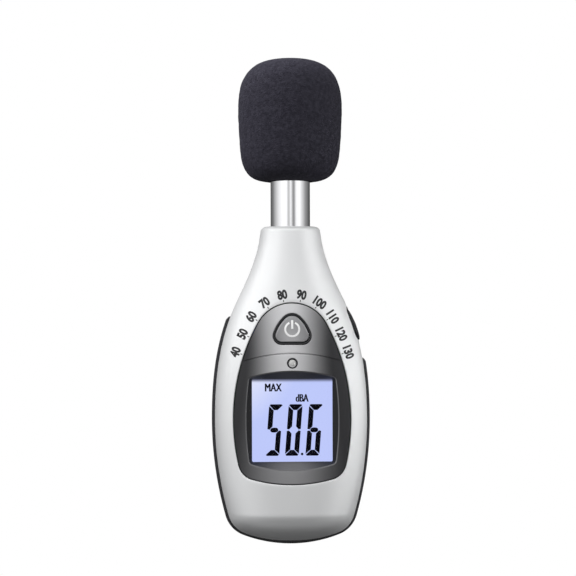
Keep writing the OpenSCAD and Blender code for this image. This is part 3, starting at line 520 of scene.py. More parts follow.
# ---- shader nodes and finishes
def new_group(name, inputs, outputs):
    """A shader node group with its input and output nodes. Inputs are (name, type, default)
    and outputs (name, type)."""
    group = bpy.data.node_groups.new(name, "ShaderNodeTree")
    for label, kind, default in inputs:
        socket = group.interface.new_socket(name=label, in_out="INPUT",
                                            socket_type="NodeSocket" + kind)
        socket.default_value = default
    for label, kind in outputs:
        group.interface.new_socket(name=label, in_out="OUTPUT", socket_type="NodeSocket" + kind)
    return group, group.nodes.new("NodeGroupInput"), group.nodes.new("NodeGroupOutput")


def feed(tree, node, inputs):
    """Gives each of those inputs of a node its value, or a link where the value is a socket."""
    for label, value in inputs.items():
        if isinstance(value, bpy.types.NodeSocket):
            tree.links.new(value, node.inputs[label])
        else:
            node.inputs[label].default_value = value


def add_node(tree, kind, inputs, **settings):
    """A new node of that kind, with its settings and then its inputs."""
    node = tree.nodes.new("ShaderNode" + kind)
    for label, value in settings.items():
        setattr(node, label, value)
    feed(tree, node, inputs)
    return node


def place_of(tree):
    """The object's own coordinates as one socket."""
    return add_node(tree, "TexCoord", {}).outputs["Object"]


def axes_of(tree):
    """The object's own coordinates as three sockets."""
    return add_node(tree, "SeparateXYZ", {0: place_of(tree)}).outputs


def noise(tree, scale, detail):
    """Soft noise over the object's own coordinates."""
    inputs = {"Vector": place_of(tree), "Scale": scale, "Detail": detail}
    return add_node(tree, "TexNoise", inputs).outputs["Fac"]


def maths(tree, operation, first, second=0.0):
    """The result of a sum on one or two values."""
    return add_node(tree, "Math", {0: first, 1: second}, operation=operation).outputs[0]


def map_range(tree, value, low, high, to=(0.0, 1.0), kind="LINEAR"):
    """The value carried from the range low to high over to another range, and held inside it."""
    inputs = {"Value": value, "From Min": low, "From Max": high, "To Min": to[0], "To Max": to[1]}
    return add_node(tree, "MapRange", inputs, interpolation_type=kind).outputs["Result"]


def mix_colours(tree, factor, a, b, blend="MIX"):
    """Colour a going over to colour b by the factor."""
    inputs = {"Factor": factor, "A": a, "B": b}
    return add_node(tree, "Mix", inputs, data_type="RGBA", blend_type=blend).outputs["Result"]


def colour_ramp(tree, value, stops, low=0.0, high=1.0):
    """The colour that the value picks from (place, colour) stops, whose places are measured
    from low to high and whose colours may be one grey level each."""
    ramp = add_node(tree, "ValToRGB", {"Fac": value})
    elements = ramp.color_ramp.elements
    elements.remove(elements[-1])
    for k, (place, colour) in enumerate(stops):
        where = (place - low) / (high - low)
        element = elements[0] if k == 0 else elements.new(where)
        element.position = where
        element.color = colour if isinstance(colour, tuple) else (colour, colour, colour, 1)
    return ramp.outputs["Color"]


def grain_group():
    """Fine moulded grain: two noises of different scale, added, as a value and as a bump."""
    group, inp, out = new_group(
        "moulded_grain",
        [("Scale", "Float", 4000.0), ("Depth", "Float", 0.2)],
        [("Value", "Float"), ("Normal", "Vector")],
    )
    scale = inp.outputs["Scale"]
    fine = noise(group, scale, detail=2.0)
    coarse = noise(group, maths(group, "MULTIPLY", scale, 0.31), detail=3.0)
    value = maths(group, "ADD", fine, coarse)
    bump = add_node(group, "Bump", {
        "Distance": 0.0001, "Strength": inp.outputs["Depth"], "Height": value})
    feed(group, out, {"Value": value, "Normal": bump.outputs["Normal"]})
    return group


def mottle_group():
    """Slow colour variation: a base colour drifting to a second one by a soft noise."""
    group, inp, out = new_group(
        "soft_mottle",
        [
            ("Colour", "Color", (0.5, 0.5, 0.5, 1.0)),
            ("Second", "Color", (0.4, 0.4, 0.4, 1.0)),
            ("Scale", "Float", 60.0),
            ("Amount", "Float", 0.5),
        ],
        [("Colour", "Color"), ("Mask", "Float")],
    )
    mask = map_range(group, noise(group, inp.outputs["Scale"], detail=4.0), 0.35, 0.65)
    amount = maths(group, "MULTIPLY", mask, inp.outputs["Amount"])
    colour = mix_colours(group, amount, inp.outputs["Colour"], inp.outputs["Second"])
    feed(group, out, {"Colour": colour, "Mask": mask})
    return group


GRAIN = grain_group()
MOTTLE = mottle_group()


def linear(r, g, b):
    """A linear colour from one written in screen values 0 to 255."""
    c = np.array([r, g, b]) / 255.0
    c = np.where(c <= 0.04045, c / 12.92, ((c + 0.055) / 1.055) ** 2.4)
    return (float(c[0]), float(c[1]), float(c[2]), 1.0)


def shade(colour, factor):
    """A share of a linear colour."""
    return (colour[0] * factor, colour[1] * factor, colour[2] * factor, 1.0)


def new_material(name):
    """A new material, its node tree and its surface shader."""
    material = bpy.data.materials.new(name)
    material.use_nodes = True
    return material, material.node_tree, material.node_tree.nodes["Principled BSDF"]


def finish(name, colour, second, roughness, metallic=0.0, grain=(4000.0, 0.15), spread=0.08,
           mottle=(60.0, 0.5), coat=0.0, coat_roughness=0.1, specular=0.5):
    """A surface finish: mottled colour, roughness that follows the grain, and a grain bump. The
    colours are screen values, and the second may be a share of the first."""
    material, tree, shader = new_material(name)
    colour = linear(*colour)
    second = linear(*second) if isinstance(second, tuple) else shade(colour, second)
    tone = add_node(tree, "Group", node_tree=MOTTLE, inputs={
        "Colour": colour, "Second": second, "Scale": mottle[0], "Amount": mottle[1]})
    texture = add_node(tree, "Group", {"Scale": grain[0], "Depth": grain[1]}, node_tree=GRAIN)
    rough = (max(0.02, roughness - spread), min(1.0, roughness + spread))
    feed(tree, shader, {
        "Base Color": tone.outputs["Colour"], "Normal": texture.outputs["Normal"],
        "Roughness": map_range(tree, texture.outputs["Value"], 0.6, 1.4, rough),
        "Metallic": metallic, "Coat Weight": coat, "Coat Roughness": coat_roughness,
        "Specular IOR Level": specular})
    return material


silver_paint = finish("silver_lacquer", (220, 221, 222), 0.96, 0.44, metallic=0.45,
                      grain=(9000.0, 0.05), coat=0.15, coat_roughness=0.25)
dark_shell = finish("dark_shell_plastic", (62, 63, 67), 0.85, 0.55, grain=(3500.0, 0.5))
grip_rubber = finish("grip_rubber", (28, 28, 31), 0.8, 0.62, grain=(5000.0, 0.35))
seal_rubber = finish("seal_rubber", (20, 20, 23), 0.8, 0.5, grain=(6000.0, 0.2))
side_plastic = finish("side_button_plastic", (24, 24, 27), (18, 18, 20), 0.24,
                      grain=(6000.0, 0.05))
tube_metal = finish("turned_steel", (230, 230, 232), 0.95, 0.1, metallic=1.0,
                    grain=(9000.0, 0.02), spread=0.02)
print_ink = finish("printed_ink", (22, 22, 24), (30, 30, 32), 0.5,
                   grain=(6000.0, 0.1))
key_ink = finish("key_symbol_ink", (250, 250, 250), (240, 240, 240), 0.4,
                 grain=(6000.0, 0.1))


def panel_finish(name, colours, roughness, metallic, half, heights, shift=0.0):
    """Lacquer with light and shade painted into its colour: a painted highlight along the middle,
    painted shade towards the sides, and a painted tone at the foot. Its middle, side and low
    colours are mixed by the distance from the line at shift and by height, and half is the reach
    of the middle colour at the top and at the foot."""
    middle, side, low = (linear(*colour) for colour in colours)
    material = finish(name, colours[0], 1.0, roughness, metallic=metallic, grain=(9000.0, 0.05))
    tree = material.node_tree
    tone = tree.nodes["Principled BSDF"].inputs["Base Color"].links[0].from_node
    axes = axes_of(tree)
    off = maths(tree, "ABSOLUTE", maths(tree, "SUBTRACT", axes["X"], shift * MM))
    foot, top = ((height - ORIGIN[2]) * MM for height in heights)
    rise = map_range(tree, axes["Z"], foot, top, kind="SMOOTHSTEP")
    width = map_range(tree, rise, 0.0, 1.0, (half[1] * MM, half[0] * MM))
    across = map_range(tree, off, 0.5 * MM, width, kind="SMOOTHSTEP")
    colour = mix_colours(tree, across, mix_colours(tree, rise, low, middle), side)
    feed(tree, tone, {"Colour": colour, "Second": shade(side, 1.1), "Amount": 0.12})
    return material


def foam_finish():
    """Open-cell foam: a fast mottle, small round cells in the bump, and a dusty sheen."""
    material = finish("foam_black", (48, 47, 55), (35, 34, 41), 0.95,
                      grain=(2600.0, 0.8), mottle=(900.0, 0.9), specular=0.15)
    tree = material.node_tree
    shader = tree.nodes["Principled BSDF"]
    cells = add_node(tree, "TexVoronoi", {"Vector": place_of(tree), "Scale": 2200.0})
    bump = add_node(tree, "Bump", {
        "Distance": 0.0003, "Strength": 0.6, "Height": cells.outputs["Distance"],
        "Normal": shader.inputs["Normal"].links[0].from_socket})
    feed(tree, shader, {
        "Normal": bump.outputs["Normal"], "Sheen Weight": 0.05, "Sheen Roughness": 0.5,
        "Sheen Tint": linear(150, 148, 165)})
    return material


def glass_finish():
    """A clear pane: see-through, with a faint gloss."""
    material, tree, shader = new_material("clear_pane")
    feed(tree, shader, {
        "Roughness": map_range(tree, noise(tree, 300.0, detail=2.0), 0.0, 1.0, (0.04, 0.09)),
        "Base Color": (0.02, 0.02, 0.025, 1), "Alpha": 0.04, "IOR": 1.45})
    return material


def display_finish():
    """The lit display: a pale blue glow with a painted reflection that brightens it towards the
    upper left, and a painted shadow band under the top edge where the frame would shade it."""
    material, tree, shader = new_material("lit_display")
    axes = axes_of(tree)
    half = VIEW_HALF[0] * MM
    top = (VIEW_Z + VIEW_HALF[1] - ORIGIN[2]) * MM
    low = (VIEW_Z - VIEW_HALF[1] - ORIGIN[2]) * MM
    rise = map_range(tree, axes["Z"], low, top)
    # Painted reflection: the glow is lighter towards the upper left.
    corner = maths(tree, "MULTIPLY", rise, map_range(tree, axes["X"], half, -half))
    glow = colour_ramp(tree, corner, [
        (0.0, linear(192, 203, 254)), (0.45, linear(192, 204, 254)), (1.0, linear(226, 231, 255))])
    # Painted shadow: a dark band under the top edge, where the frame would shade the face.
    band = map_range(tree, axes["Z"], top - 1.4 * MM, top - 0.1 * MM, kind="SMOOTHSTEP")
    feed(tree, shader, {
        "Emission Color": mix_colours(tree, band, glow, linear(84, 86, 108)),
        "Emission Strength": 1.04, "Base Color": (0.01, 0.01, 0.012, 1), "Roughness": 0.6,
        "Specular IOR Level": 0.1})
    return material


# Painted highlight down the panel's middle, painted shade at its sides, and darker towards the
# foot.
panel_painted_light = panel_finish(
    "panel_lacquer_with_painted_light", ((208, 208, 210), (41, 41, 43), (148, 148, 150)), roughness=0.42,
    metallic=0.6, half=(14.0, 19.0), heights=(22.0, 68.0), shift=-0.9)
# Painted shade at the key's sides and a painted highlight along its lower part.
key_painted_light = panel_finish(
    "key_lacquer_with_painted_light", ((152, 152, 154), (140, 140, 142), (202, 202, 204)), roughness=0.36,
    metallic=0.6, half=(6.0, 7.0), heights=(67.0, 75.0))
# Painted shade on the recess slopes and on the walls round the panel's fields, darkest at the
# sides, with lighter painted light on the bottom slope.
recess_painted_shade = panel_finish(
    "recess_lacquer_with_painted_shade", ((70, 70, 72), (19, 19, 21), (104, 104, 106)), roughness=0.5,
    metallic=0.4, half=(13.4, 15.0), heights=(27.6, 29.6))
# Painted highlight on the recess chamfer: a light grey with some metallic gloss.
chamfer_painted_highlight = finish("painted_chamfer_highlight", (108, 108, 110), (94, 94, 96), 0.4,
                    metallic=0.8, grain=(9000.0, 0.05))
foam_black = foam_finish()
clear_pane = glass_finish()
lit_display = display_finish()
digit_ink = finish("display_ink", (8, 9, 20), (6, 7, 16), 0.8,
                   grain=(5000.0, 0.02), specular=0.05)
light_cap = finish("light_cap", (194, 194, 193), (178, 178, 177), 0.3,
                   grain=(5000.0, 0.05), coat=0.5)


# ---- housing
SKIN_CENTRE = (0.0, 50.0)
SKIN_LIP = 0.32
INSIDE = (0.0, 30.0, 55.0)
SIDE_INSIDE = (5.0, SIDE_Y, SIDE_Z)


def front_skin():
    """Rows run from the panel opening, whose edge rolls over into it, to the outline, spaced as
    1 - (1 - r) cubed so that they crowd where the surface turns under."""
    inner = reach(panel_outline(), SKIN_CENTRE)
    outer = reach(housing_outline(), SKIN_CENTRE)
    shares = 1 - (1 - np.linspace(0, 1, 64)) ** 3
    edge = rolled_edge(skin_y, SKIN_CENTRE, inner, SKIN_LIP, drop=1.9, steps=7)
    face = face_rows(skin_y, SKIN_CENTRE, inner + SKIN_LIP, outer, shares)
    return grid(np.concatenate([edge, face]), INSIDE)


def neck_cap():
    """The flat top of the neck: from the edge of the housing in to the barrel's hole."""
    a = np.linspace(0, np.pi, 96)
    x = -(NECK_HALF - NECK_EDGE_R) * np.cos(a)
    y = -float(front_depth(HOUSING_H)) * rounded(np.abs(np.cos(a)), NECK_POWER)
    rim = xyz(x, y, HOUSING_H)
    hole = xyz(-TUBE_R * np.cos(a), -TUBE_R * np.sin(a), HOUSING_H)
    t = np.linspace(0, 1, 5)[:, None, None]
    return grid(rim + (hole - rim) * t, (0, 0, 60), closed=False)


def side_stadium(r, steps):
    """Rings of places y and z at distance r from the middle line of the side button."""
    a = full_turn(steps)
    y = SIDE_Y + r * np.cos(a)
    return y, SIDE_Z + SIDE_REACH * np.clip(50 * np.sin(a), -1, 1) + r * np.sin(a)


def cut_slot(surface):
    """The surface with the side button's slot cut out. The slot is a stadium seen from the side,
    and points within SLOT_SNAP of its edge move onto it."""
    verts, faces = surface
    verts = verts.copy()
    off = verts[:, 1] - SIDE_Y
    up = verts[:, 2] - SIDE_Z
    end = np.sign(up) * np.maximum(np.abs(up) - SIDE_REACH, 0)
    away = np.hypot(off, end)
    gap = away - (SIDE_W / 2 + SLOT_GAP)
    right = verts[:, 0] > BELLY[0] / 2
    near = right & (np.abs(gap) < SLOT_SNAP)
    scale = gap / np.maximum(away, 1e-6)
    verts[near, 1] -= (scale * off)[near]
    verts[near, 2] -= (scale * end)[near]
    verts[near, 0] = flank(verts[near, 1], verts[near, 2])
    gap = np.where(near, 0, gap)
    inside = right[faces].all(axis=1) & (gap[faces].mean(axis=1) < 0)
    used, kept = np.unique(faces[~inside | (gap[faces].max(axis=1) > SLOT_SNAP)],
                           return_inverse=True)
    return verts[used], kept.reshape(-1, 4)


def slot_row(grow, lift):
    """A ring round the slot, grow outside its edge and lift outside the flank."""
    y, z = side_stadium(SIDE_W / 2 + SLOT_GAP + grow, 192)
    return xyz(flank(y, z) + lift, y, z)


def slot_edge():
    """The slot's rim, which stands a hair over the flank, and its wall, which looks inward."""
    rim = [slot_row(out, lift)
           for out, lift in ((0.2, -0.01), (0.13, 0.02), (0.05, 0.015), (0.0, -0.05))]
    wall = [slot_row(0.0, lift) for lift in (-0.05, -0.6, -1.7)]
    verts, faces = grid(np.stack(wall), SIDE_INSIDE)
    return [grid(np.stack(rim), SIDE_INSIDE), (verts, faces[:, ::-1])]


skin = make_piece("housing_front", [cut_slot(front_skin()), neck_cap()] + slot_edge(),
                  "housing", silver_paint, smooth_angle=50)
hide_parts("front_shell")


# ---- display panel
PANEL_LIP = 0.22
UPPER_C = (0.0, POWER_Z)
LOWER_C = (0.0, VIEW_Z)
RIM_REACH = reach(recess_outline(-RIM_OUT), LOWER_C)


def panel_region(centre, groove, far, hole, rows):
    """One field of the panel from its outer edge, which stops at the split line, in to the
    hole: a rolled edge and the rows across the face."""
    split_c = (0.0, SPLIT_CENTRE_Z - SPLIT_R)
    outer = np.minimum(reach(panel_outline(PANEL_GAP), centre),
                       circle_reach(centre, split_c, SPLIT_R + groove, far))
    edge = rolled_edge(panel_y, centre, outer, -PANEL_LIP, drop=1.6, steps=6)
    face = face_rows(panel_y, centre, outer - PANEL_LIP, hole, np.linspace(0, 1, rows))
    return np.concatenate([edge, face])


def upper_field():
    """The field with the power button: edge, face, then a rolled edge round the button."""
    hole = reach(power_outline(SEAL_W), UPPER_C)
    field = panel_region(UPPER_C, GROOVE, far=False, hole=hole + PANEL_LIP, rows=40)
    edge = rolled_edge(panel_y, UPPER_C, hole, PANEL_LIP, drop=1.5, steps=6)[::-1]
    return grid(np.concatenate([field, edge]), INSIDE)


def lower_field():
    """The field with the display: edge, face, a narrow chamfer, and four slopes that fall in
    straight lines from the chamfer to the window's edge."""
    field = panel_region(LOWER_C, -GROOVE, far=True, hole=RIM_REACH, rows=44)
    x, z = around(LOWER_C, reach(recess_outline(CHAMFER), LOWER_C))
    top = on_surface(panel_y, x, z, -CHAMFER)
    foot = ray_rows(LOWER_C, reach(view_outline(), LOWER_C), RECESS_FLOOR_Y)
    slope = top + (foot - top) * np.linspace(0, 1, 14)[:, None, None]
    under = foot[None] + np.array([0.0, 0.5, 0.0])
    return grid(np.concatenate([field, slope, under]), (0, 30, VIEW_Z))


def groove_floor():
    """The bottom of the split line: a narrow strip along its arc, sunk below the face."""
    half = math.asin(GROOVE_HALF_LENGTH / SPLIT_R)
    a = np.linspace(np.pi / 2 + half, np.pi / 2 - half, 120)
    r = SPLIT_R + column(-0.6, -0.2, 0.2, 0.6)
    z = SPLIT_CENTRE_Z - SPLIT_R + r * np.sin(a)
    return grid(on_surface(skin_y, r * np.cos(a), z, -GROOVE_DEPTH), INSIDE, closed=False)


panel = make_piece("panel_face", [upper_field(), lower_field(), groove_floor()],
                   "housing", panel_painted_light, smooth_angle=40)
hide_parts("display_panel")


def face_middles(obj):
    """The middle of every face, in the drawing's millimetres."""
    return triples(obj.data.polygons, "center") / MM + ORIGIN


def paint_panel(obj):
    """Inside the recess's edge the slopes take the recess's painted shade and the chamfer at their
    top a painted highlight; the walls round the fields take the same painted shade."""
    mesh = obj.data
    middle = face_middles(obj)
    x = middle[:, 0]
    z = middle[:, 2]
    sunk = middle[:, 1] - panel_y(x, z)
    a = np.arctan2(z - VIEW_Z, x)
    rim = np.interp(a % (2 * np.pi), np.append(ANGLES, 2 * np.pi),
                    np.append(RIM_REACH, RIM_REACH[0]))
    inside = np.hypot(x, z - VIEW_Z) < rim - 0.02
    index = np.where(inside, np.where(sunk > 0.3, 1, 2), sunk > 0.4)
    mesh.materials.append(recess_painted_shade)
    mesh.materials.append(chamfer_painted_highlight)
    mesh.polygons.foreach_set("material_index", index.astype(np.int32))


def paint_opening(obj):
    """The walls of the opening that holds the panel take the dark seal rubber as painted shade."""
    mesh = obj.data
    middle = face_middles(obj)
    sunk = middle[:, 1] + front_at(middle[:, 0], middle[:, 2]) > 0.45
    near = (np.abs(middle[:, 0]) < PANEL_HALF + 0.2) & (middle[:, 2] > PANEL_BOTTOM - 0.2)
    low = middle[:, 2] < PANEL_TOP + 0.2
    # The dark seal rubber on these silver walls is painted shade in the gap round the panel.
    mesh.materials.append(seal_rubber)
    mesh.polygons.foreach_set("material_index", (sunk & near & low).astype(np.int32))


paint_panel(panel)
paint_opening(skin)


# ---- power button and its seal
KEY_INSIDE = (0.0, 0.0, POWER_Z)
KEY_GAP = 0.15
KEY_LIP = 0.55
SEAL_CREST = 0.22


def power_key():
    """Rays out from the middle of the key: a dome, a rolled edge and a straight skirt."""
    edge = reach(power_outline(-KEY_GAP), UPPER_C)
    dome = face_rows(key_y, UPPER_C, 0 * edge, edge - KEY_LIP, np.linspace(0.02, 1, 26))
    skirt = rolled_edge(key_y, UPPER_C, edge, -KEY_LIP, drop=2.4, steps=9)[::-1]
    middle = on_surface(key_y, 0.0, POWER_Z)[None]
    return [grid(np.concatenate([dome, skirt]), KEY_INSIDE), fan(dome[0], middle, (0, -1, 0))]


key = make_piece("power_key", power_key(), "power_button", key_painted_light,
                 smooth_angle=45)
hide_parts("power_button")


def power_symbol():
    """A ring with a gap at its top and a bar in the gap, laid on the key and raised a little."""
    centre = POWER_Z - 0.05
    gap_angle = 24
    lift = column(-0.03, 0.035, 0.035, -0.03)
    r = column(1.92, 1.98, 2.55, 2.61)
    a = np.radians(np.linspace(90 + gap_angle, 450 - gap_angle, 90))
    ring = on_surface(key_y, r * np.cos(a), centre + r * np.sin(a), lift)
    x = column(-0.37, -0.31, 0.31, 0.37)
    bar = on_surface(key_y, x, np.linspace(centre + 0.15, centre + 3.0, 12), lift)
    return [grid(rows, KEY_INSIDE, closed=False) for rows in (ring, bar)]


make_piece("power_symbol", power_symbol(), "power_button", key_ink)


def seal_ring():
    """A rubber band round the key: a rounded section carried round the key's outline."""
    inner = reach(power_outline(), UPPER_C)
    outer = reach(power_outline(SEAL_W - 0.06), UPPER_C)
    a = np.linspace(0, np.pi, 9)[:, None]
    base = skin_y(*around(UPPER_C, outer)) + 0.28
    crest = ray_rows(UPPER_C, outer + (inner - outer) * (1 - np.cos(a)) / 2,
                     base - SEAL_CREST * np.sin(a))
    drop = np.array([0.0, 1.2, 0.0])
    rows = np.concatenate([crest[:1] + drop, crest, crest[-1:] + drop])
    return grid(rows, (0, 20, POWER_Z))


seal = make_piece("key_seal", [seal_ring()], "housing", seal_rubber)
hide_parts("power_seal")


# ---- status light
LED_FACE = float(skin_y(0.0, LED_Z))
RING_PROFILE = [
    (LED_R + 0.02, 1.0), (LED_R + 0.02, 0.1), (LED_R + 0.12, -0.06), (LED_R + 0.3, -0.12),
    (LED_RING_R - 0.25, -0.12), (LED_RING_R - 0.08, -0.06), (LED_RING_R, 0.08),
    (LED_RING_R, 0.9),
]


def led_surface(profile, steps):
    """A profile of (radius, depth under the face) points turned round the light's level axis."""
    x, z, y = turned(profile, steps)
    return grid(xyz(x, LED_FACE + y, LED_Z + z), (0, 10, LED_Z))


light_ring = make_piece("light_ring", [led_surface(RING_PROFILE, 96)],
                        "housing", seal_rubber)
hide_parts("led_ring")


def cap_piece():
    """The light's cap: a spherical dome over a short stem."""
    steps = 72
    share = np.linspace(0.02, 1, 16)
    dome = np.column_stack([LED_R * share, 0.22 - 0.42 * np.sqrt(1 - 0.94 * share**2)])
    surface = led_surface(np.vstack([dome, [[LED_R, 2.5]]]), steps)
    middle = np.array([[0.0, LED_FACE - 0.2, LED_Z]])
    return [surface, fan(surface[0][:steps], middle, (0, -1, 0))]


light = make_piece("light_cap", cap_piece(), "housing", light_cap)
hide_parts("status_led")


# ---- display
def flat_plate(outline, y_front, thickness):
    """A thin plate with that outline [x, z]: a front face and its edge."""
    outline = np.asarray(outline, float)
    count = len(outline)
    x, z = outline.T
    front = xyz(x, y_front, z)
    area = np.sum(x * np.roll(z, -1) - np.roll(x, -1) * z)
    order = list(range(count))
    if area < 0:
        order.reverse()
    faces = [order]
    for a, b in zip(order, order[1:] + order[:1]):
        faces.append([a, a + count, b + count, b])
    return np.vstack([front, front + np.array([0.0, thickness, 0.0])]), faces


def display_face():
    """The lit face, as a grid that reaches a little under the frame on each side."""
    under = 1.0
    x = np.linspace(-VIEW_HALF[0] - under, VIEW_HALF[0] + under, 28)[:, None]
    z = np.linspace(VIEW_Z - VIEW_HALF[1] - under, VIEW_Z + VIEW_HALF[1] + under, 28)
    return grid(xyz(x, LCD_Y, z), (0, 10, VIEW_Z), closed=False)


face = make_piece("display_face", [display_face()], "housing", lit_display, smooth_angle=0)

INK_Y = LCD_Y - 0.04
INK_T = 0.03
DIGITS_Z = 30.4
DIGIT_H = 16.85
DIGIT_W = 4.55
STROKE_V = 1.62
STROKE_H = 1.9
SEGMENT_GAP = 0.13
SLANT = math.tan(math.radians(4.5))


def segment_shapes():
    """Outlines of the seven strokes of a digit in a box of DIGIT_W by DIGIT_H: long strokes
    with mitred ends, and a pointed bar across the middle."""
    w, h, v, b, g = DIGIT_W, DIGIT_H, STROKE_V, STROKE_H, SEGMENT_GAP
    m = h / 2
    k = 0.35
    top = [(g + k, h), (w - g - k, h), (w - g, h - k), (w - v - g / 2, h - b),
           (v + g / 2, h - b), (g, h - k)]
    bottom = [(x, h - z) for x, z in top]
    ur = [(w, h - k - 2 * g), (w, m + k), (w - v * 0.42, m + g), (w - v, m + b * 0.62),
          (w - v, h - b - g)]
    lr = [(x, h - z) for x, z in ur]
    ul = [(w - x, z) for x, z in ur]
    ll = [(w - x, z) for x, z in lr]
    t = full_turn(28)
    c = np.cos(t)
    s = np.sin(t)
    middle = list(zip(w / 2 + 1.3 * np.sign(c) * np.abs(c) ** 0.8,
                      m + 0.8 * np.sign(s) * np.abs(s) ** 0.8))
    return {"a": top, "b": ur, "c": lr, "d": bottom, "e": ll, "f": ul, "g": middle}


LIT = {"0": "abcdef", "5": "afgcd", "6": "afgedc"}


def digit_plates(figure, left):
    """The plates of one figure whose box starts at left, leaning by SLANT."""
    shapes = segment_shapes()
    plates = []
    for stroke in LIT[figure]:
        x, z = np.array(shapes[stroke]).T
        placed = np.column_stack([x + z * SLANT + left, z + DIGITS_Z])
        plates.append(flat_plate(placed, INK_Y, INK_T))
    return plates


digits = []
for figure, left in (("5", -8.8), ("0", -2.4), ("6", 4.3)):
    digits += digit_plates(figure, left)
point = arc((3.25, DIGITS_Z + 0.55), 0.42, 0, 2 * np.pi, 25)[:-1]
digits.append(flat_plate(point, INK_Y, INK_T))
make_piece("display_figures", digits, "housing", digit_ink, weld=0, smooth_angle=0)


def text_mesh(body, size, bold, squeeze):
    """A flat text as vertices [u, v] in millimetres about its middle, and its faces."""
    curve = bpy.data.curves.new("legend", "FONT")
    curve.body = body
    curve.size = size
    curve.align_x = "CENTER"
    curve.align_y = "CENTER"
    curve.offset = bold
    curve.resolution_u = 4
    obj = add_object("legend", curve)
    graph = bpy.context.evaluated_depsgraph_get()
    mesh = bpy.data.meshes.new_from_object(obj.evaluated_get(graph))
    shape = bmesh.new()
    shape.from_mesh(mesh)
    bmesh.ops.triangulate(shape, faces=shape.faces)
    for limit in (0.9, 0.5):
        long_edges = [e for e in shape.edges if e.calc_length() > limit]
        bmesh.ops.subdivide_edges(shape, edges=long_edges, cuts=2)
        bmesh.ops.triangulate(shape, faces=shape.faces)
    shape.to_mesh(mesh)
    shape.free()
    uv = triples(mesh.vertices, "co")[:, :2] * np.array([squeeze, 1.0])
    faces = [list(p.vertices) for p in mesh.polygons]
    bpy.data.objects.remove(obj)
    bpy.data.curves.remove(curve)
    bpy.data.meshes.remove(mesh)
    return uv, faces


def bold_legend(body, x, z, size, squeeze):
    """A legend as three thin copies side by side, each a hair in front of the one before."""
    uv, faces = text_mesh(body, size, bold=0.0, squeeze=squeeze)
    return [(xyz(uv[:, 0] + x + shift, INK_Y - 0.01 * k, uv[:, 1] + z), faces)
            for k, shift in enumerate((-0.13, 0.0, 0.13))]


make_piece(
    "display_legends",
    bold_legend("MAX", x=-6.2, z=52.6, size=3.75, squeeze=0.68)
    + bold_legend("dBA", x=3.25, z=49.15, size=3.6, squeeze=0.66),
    "housing", digit_ink, weld=0, smooth_angle=0)

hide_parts("lcd_glass")


# ---- printed scale
SCALE_OUT = 2.75
SCALE_FROM_Z = 55.0
SCALE_HALF = 28.4
SCALE_VALUES = range(40, 131, 10)
TICK = (-2.25, -1.6)
TICK_HALF_WIDTH = 0.14
PRINT_LIFT = 0.035


def scale_path():
    """Points along the panel's top, SCALE_OUT outside it, from left to right, and how far each
    lies along it."""
    outline = panel_outline(-SCALE_OUT)
    right = outline[: len(outline) // 2]
    right = right[right[:, 1] > SCALE_FROM_Z]
    path = np.concatenate([right * MIRROR, right[::-1][1:]])
    step = np.linalg.norm(np.diff(path, axis=0), axis=1)
    return path, np.concatenate([[0.0], np.cumsum(step)])


path, along = scale_path()


def scale_place(k):
    """Place, direction and outward normal of the number k on the scale's path."""
    s = along[-1] / 2 + SCALE_HALF * (2 * k / (len(SCALE_VALUES) - 1) - 1)
    place, ahead = (np.array([np.interp(t, along, path[:, 0]), np.interp(t, along, path[:, 1])])
                    for t in (s, s + 0.1))
    d = (ahead - place) / np.linalg.norm(ahead - place)
    return place, d, np.array([-d[1], d[0]])


def printed_scale():
    """Plain numbers along the scale, each turned to follow it and laid on the housing, and a
    short stroke under each one."""
    surfaces = []
    for k, value in enumerate(SCALE_VALUES):
        place, d, n = scale_place(k)
        uv, faces = text_mesh(str(value), size=3.9, bold=0.2, squeeze=0.8)
        x, z = (place + uv[:, :1] * d + uv[:, 1:] * n).T
        surfaces.append((on_surface(skin_y, x, z, PRINT_LIFT), faces))
        u = column(-TICK_HALF_WIDTH, TICK_HALF_WIDTH)
        v = np.linspace(*TICK, 4)
        x, z = (place[i] + u * d[i] + v * n[i] for i in range(2))
        surfaces.append(grid(on_surface(skin_y, x, z, PRINT_LIFT), INSIDE, closed=False))
    return surfaces


make_piece("printed_scale", printed_scale(), "housing", print_ink, weld=0,
           smooth_angle=0)


# ---- grip
GRIP_LEFT_Z = 76.0
GRIP_RIGHT_Z = 62.0
GRIP_Y = (-1.3, 3.7)
GRIP_CORNER = 0.75
GRIP_SKIRT = 0.7
GRIP_FADE = (1.6, 1.4)


def grip_piece():
    """A rounded strip carried along the outline from the left end to the right end. Its height
    over the housing runs out over the last few millimetres of each end."""
    left = right_side(GRIP_LEFT_Z, 90)[::-1] * MIRROR
    path = np.concatenate([left, right_side(GRIP_RIGHT_Z, 90)[1:]])
    d = np.gradient(path, axis=0)
    d = d / np.linalg.norm(d, axis=1, keepdims=True)
    s = np.concatenate([[0], np.cumsum(np.linalg.norm(np.diff(path, axis=0), axis=1))])
    fade = (np.clip(s / GRIP_FADE[0], 0, 1) ** 0.5
            * np.clip((s[-1] - s) / GRIP_FADE[1], 0, 1) ** 0.5)
    a = np.linspace(0, np.pi / 2, 8)
    rise = GRIP_CORNER * np.sin(a) - GRIP_CORNER
    run = GRIP_CORNER * (1 - np.cos(a))
    skirt = [-GRIP_SKIRT]
    out = np.concatenate([skirt, rise, rise[::-1], skirt])[:, None]
    y = np.concatenate([[GRIP_Y[0]], GRIP_Y[0] + run, GRIP_Y[1] - run[::-1], [GRIP_Y[1]]])
    level = np.clip(1 + out / GRIP_PROUD, -0.7, 1)
    height = np.where(out <= -GRIP_SKIRT, -0.6, GRIP_PROUD * fade * level)
    x = path[:, 0] + height * d[:, 1]
    z = path[:, 1] - height * d[:, 0]
    return grid(xyz(x, y[:, None], z), (0, 1.2, 45), closed=False)


grip = make_piece("grip_strip", [grip_piece()], "housing", grip_rubber,
                  smooth_angle=60)
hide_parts("grip_band")


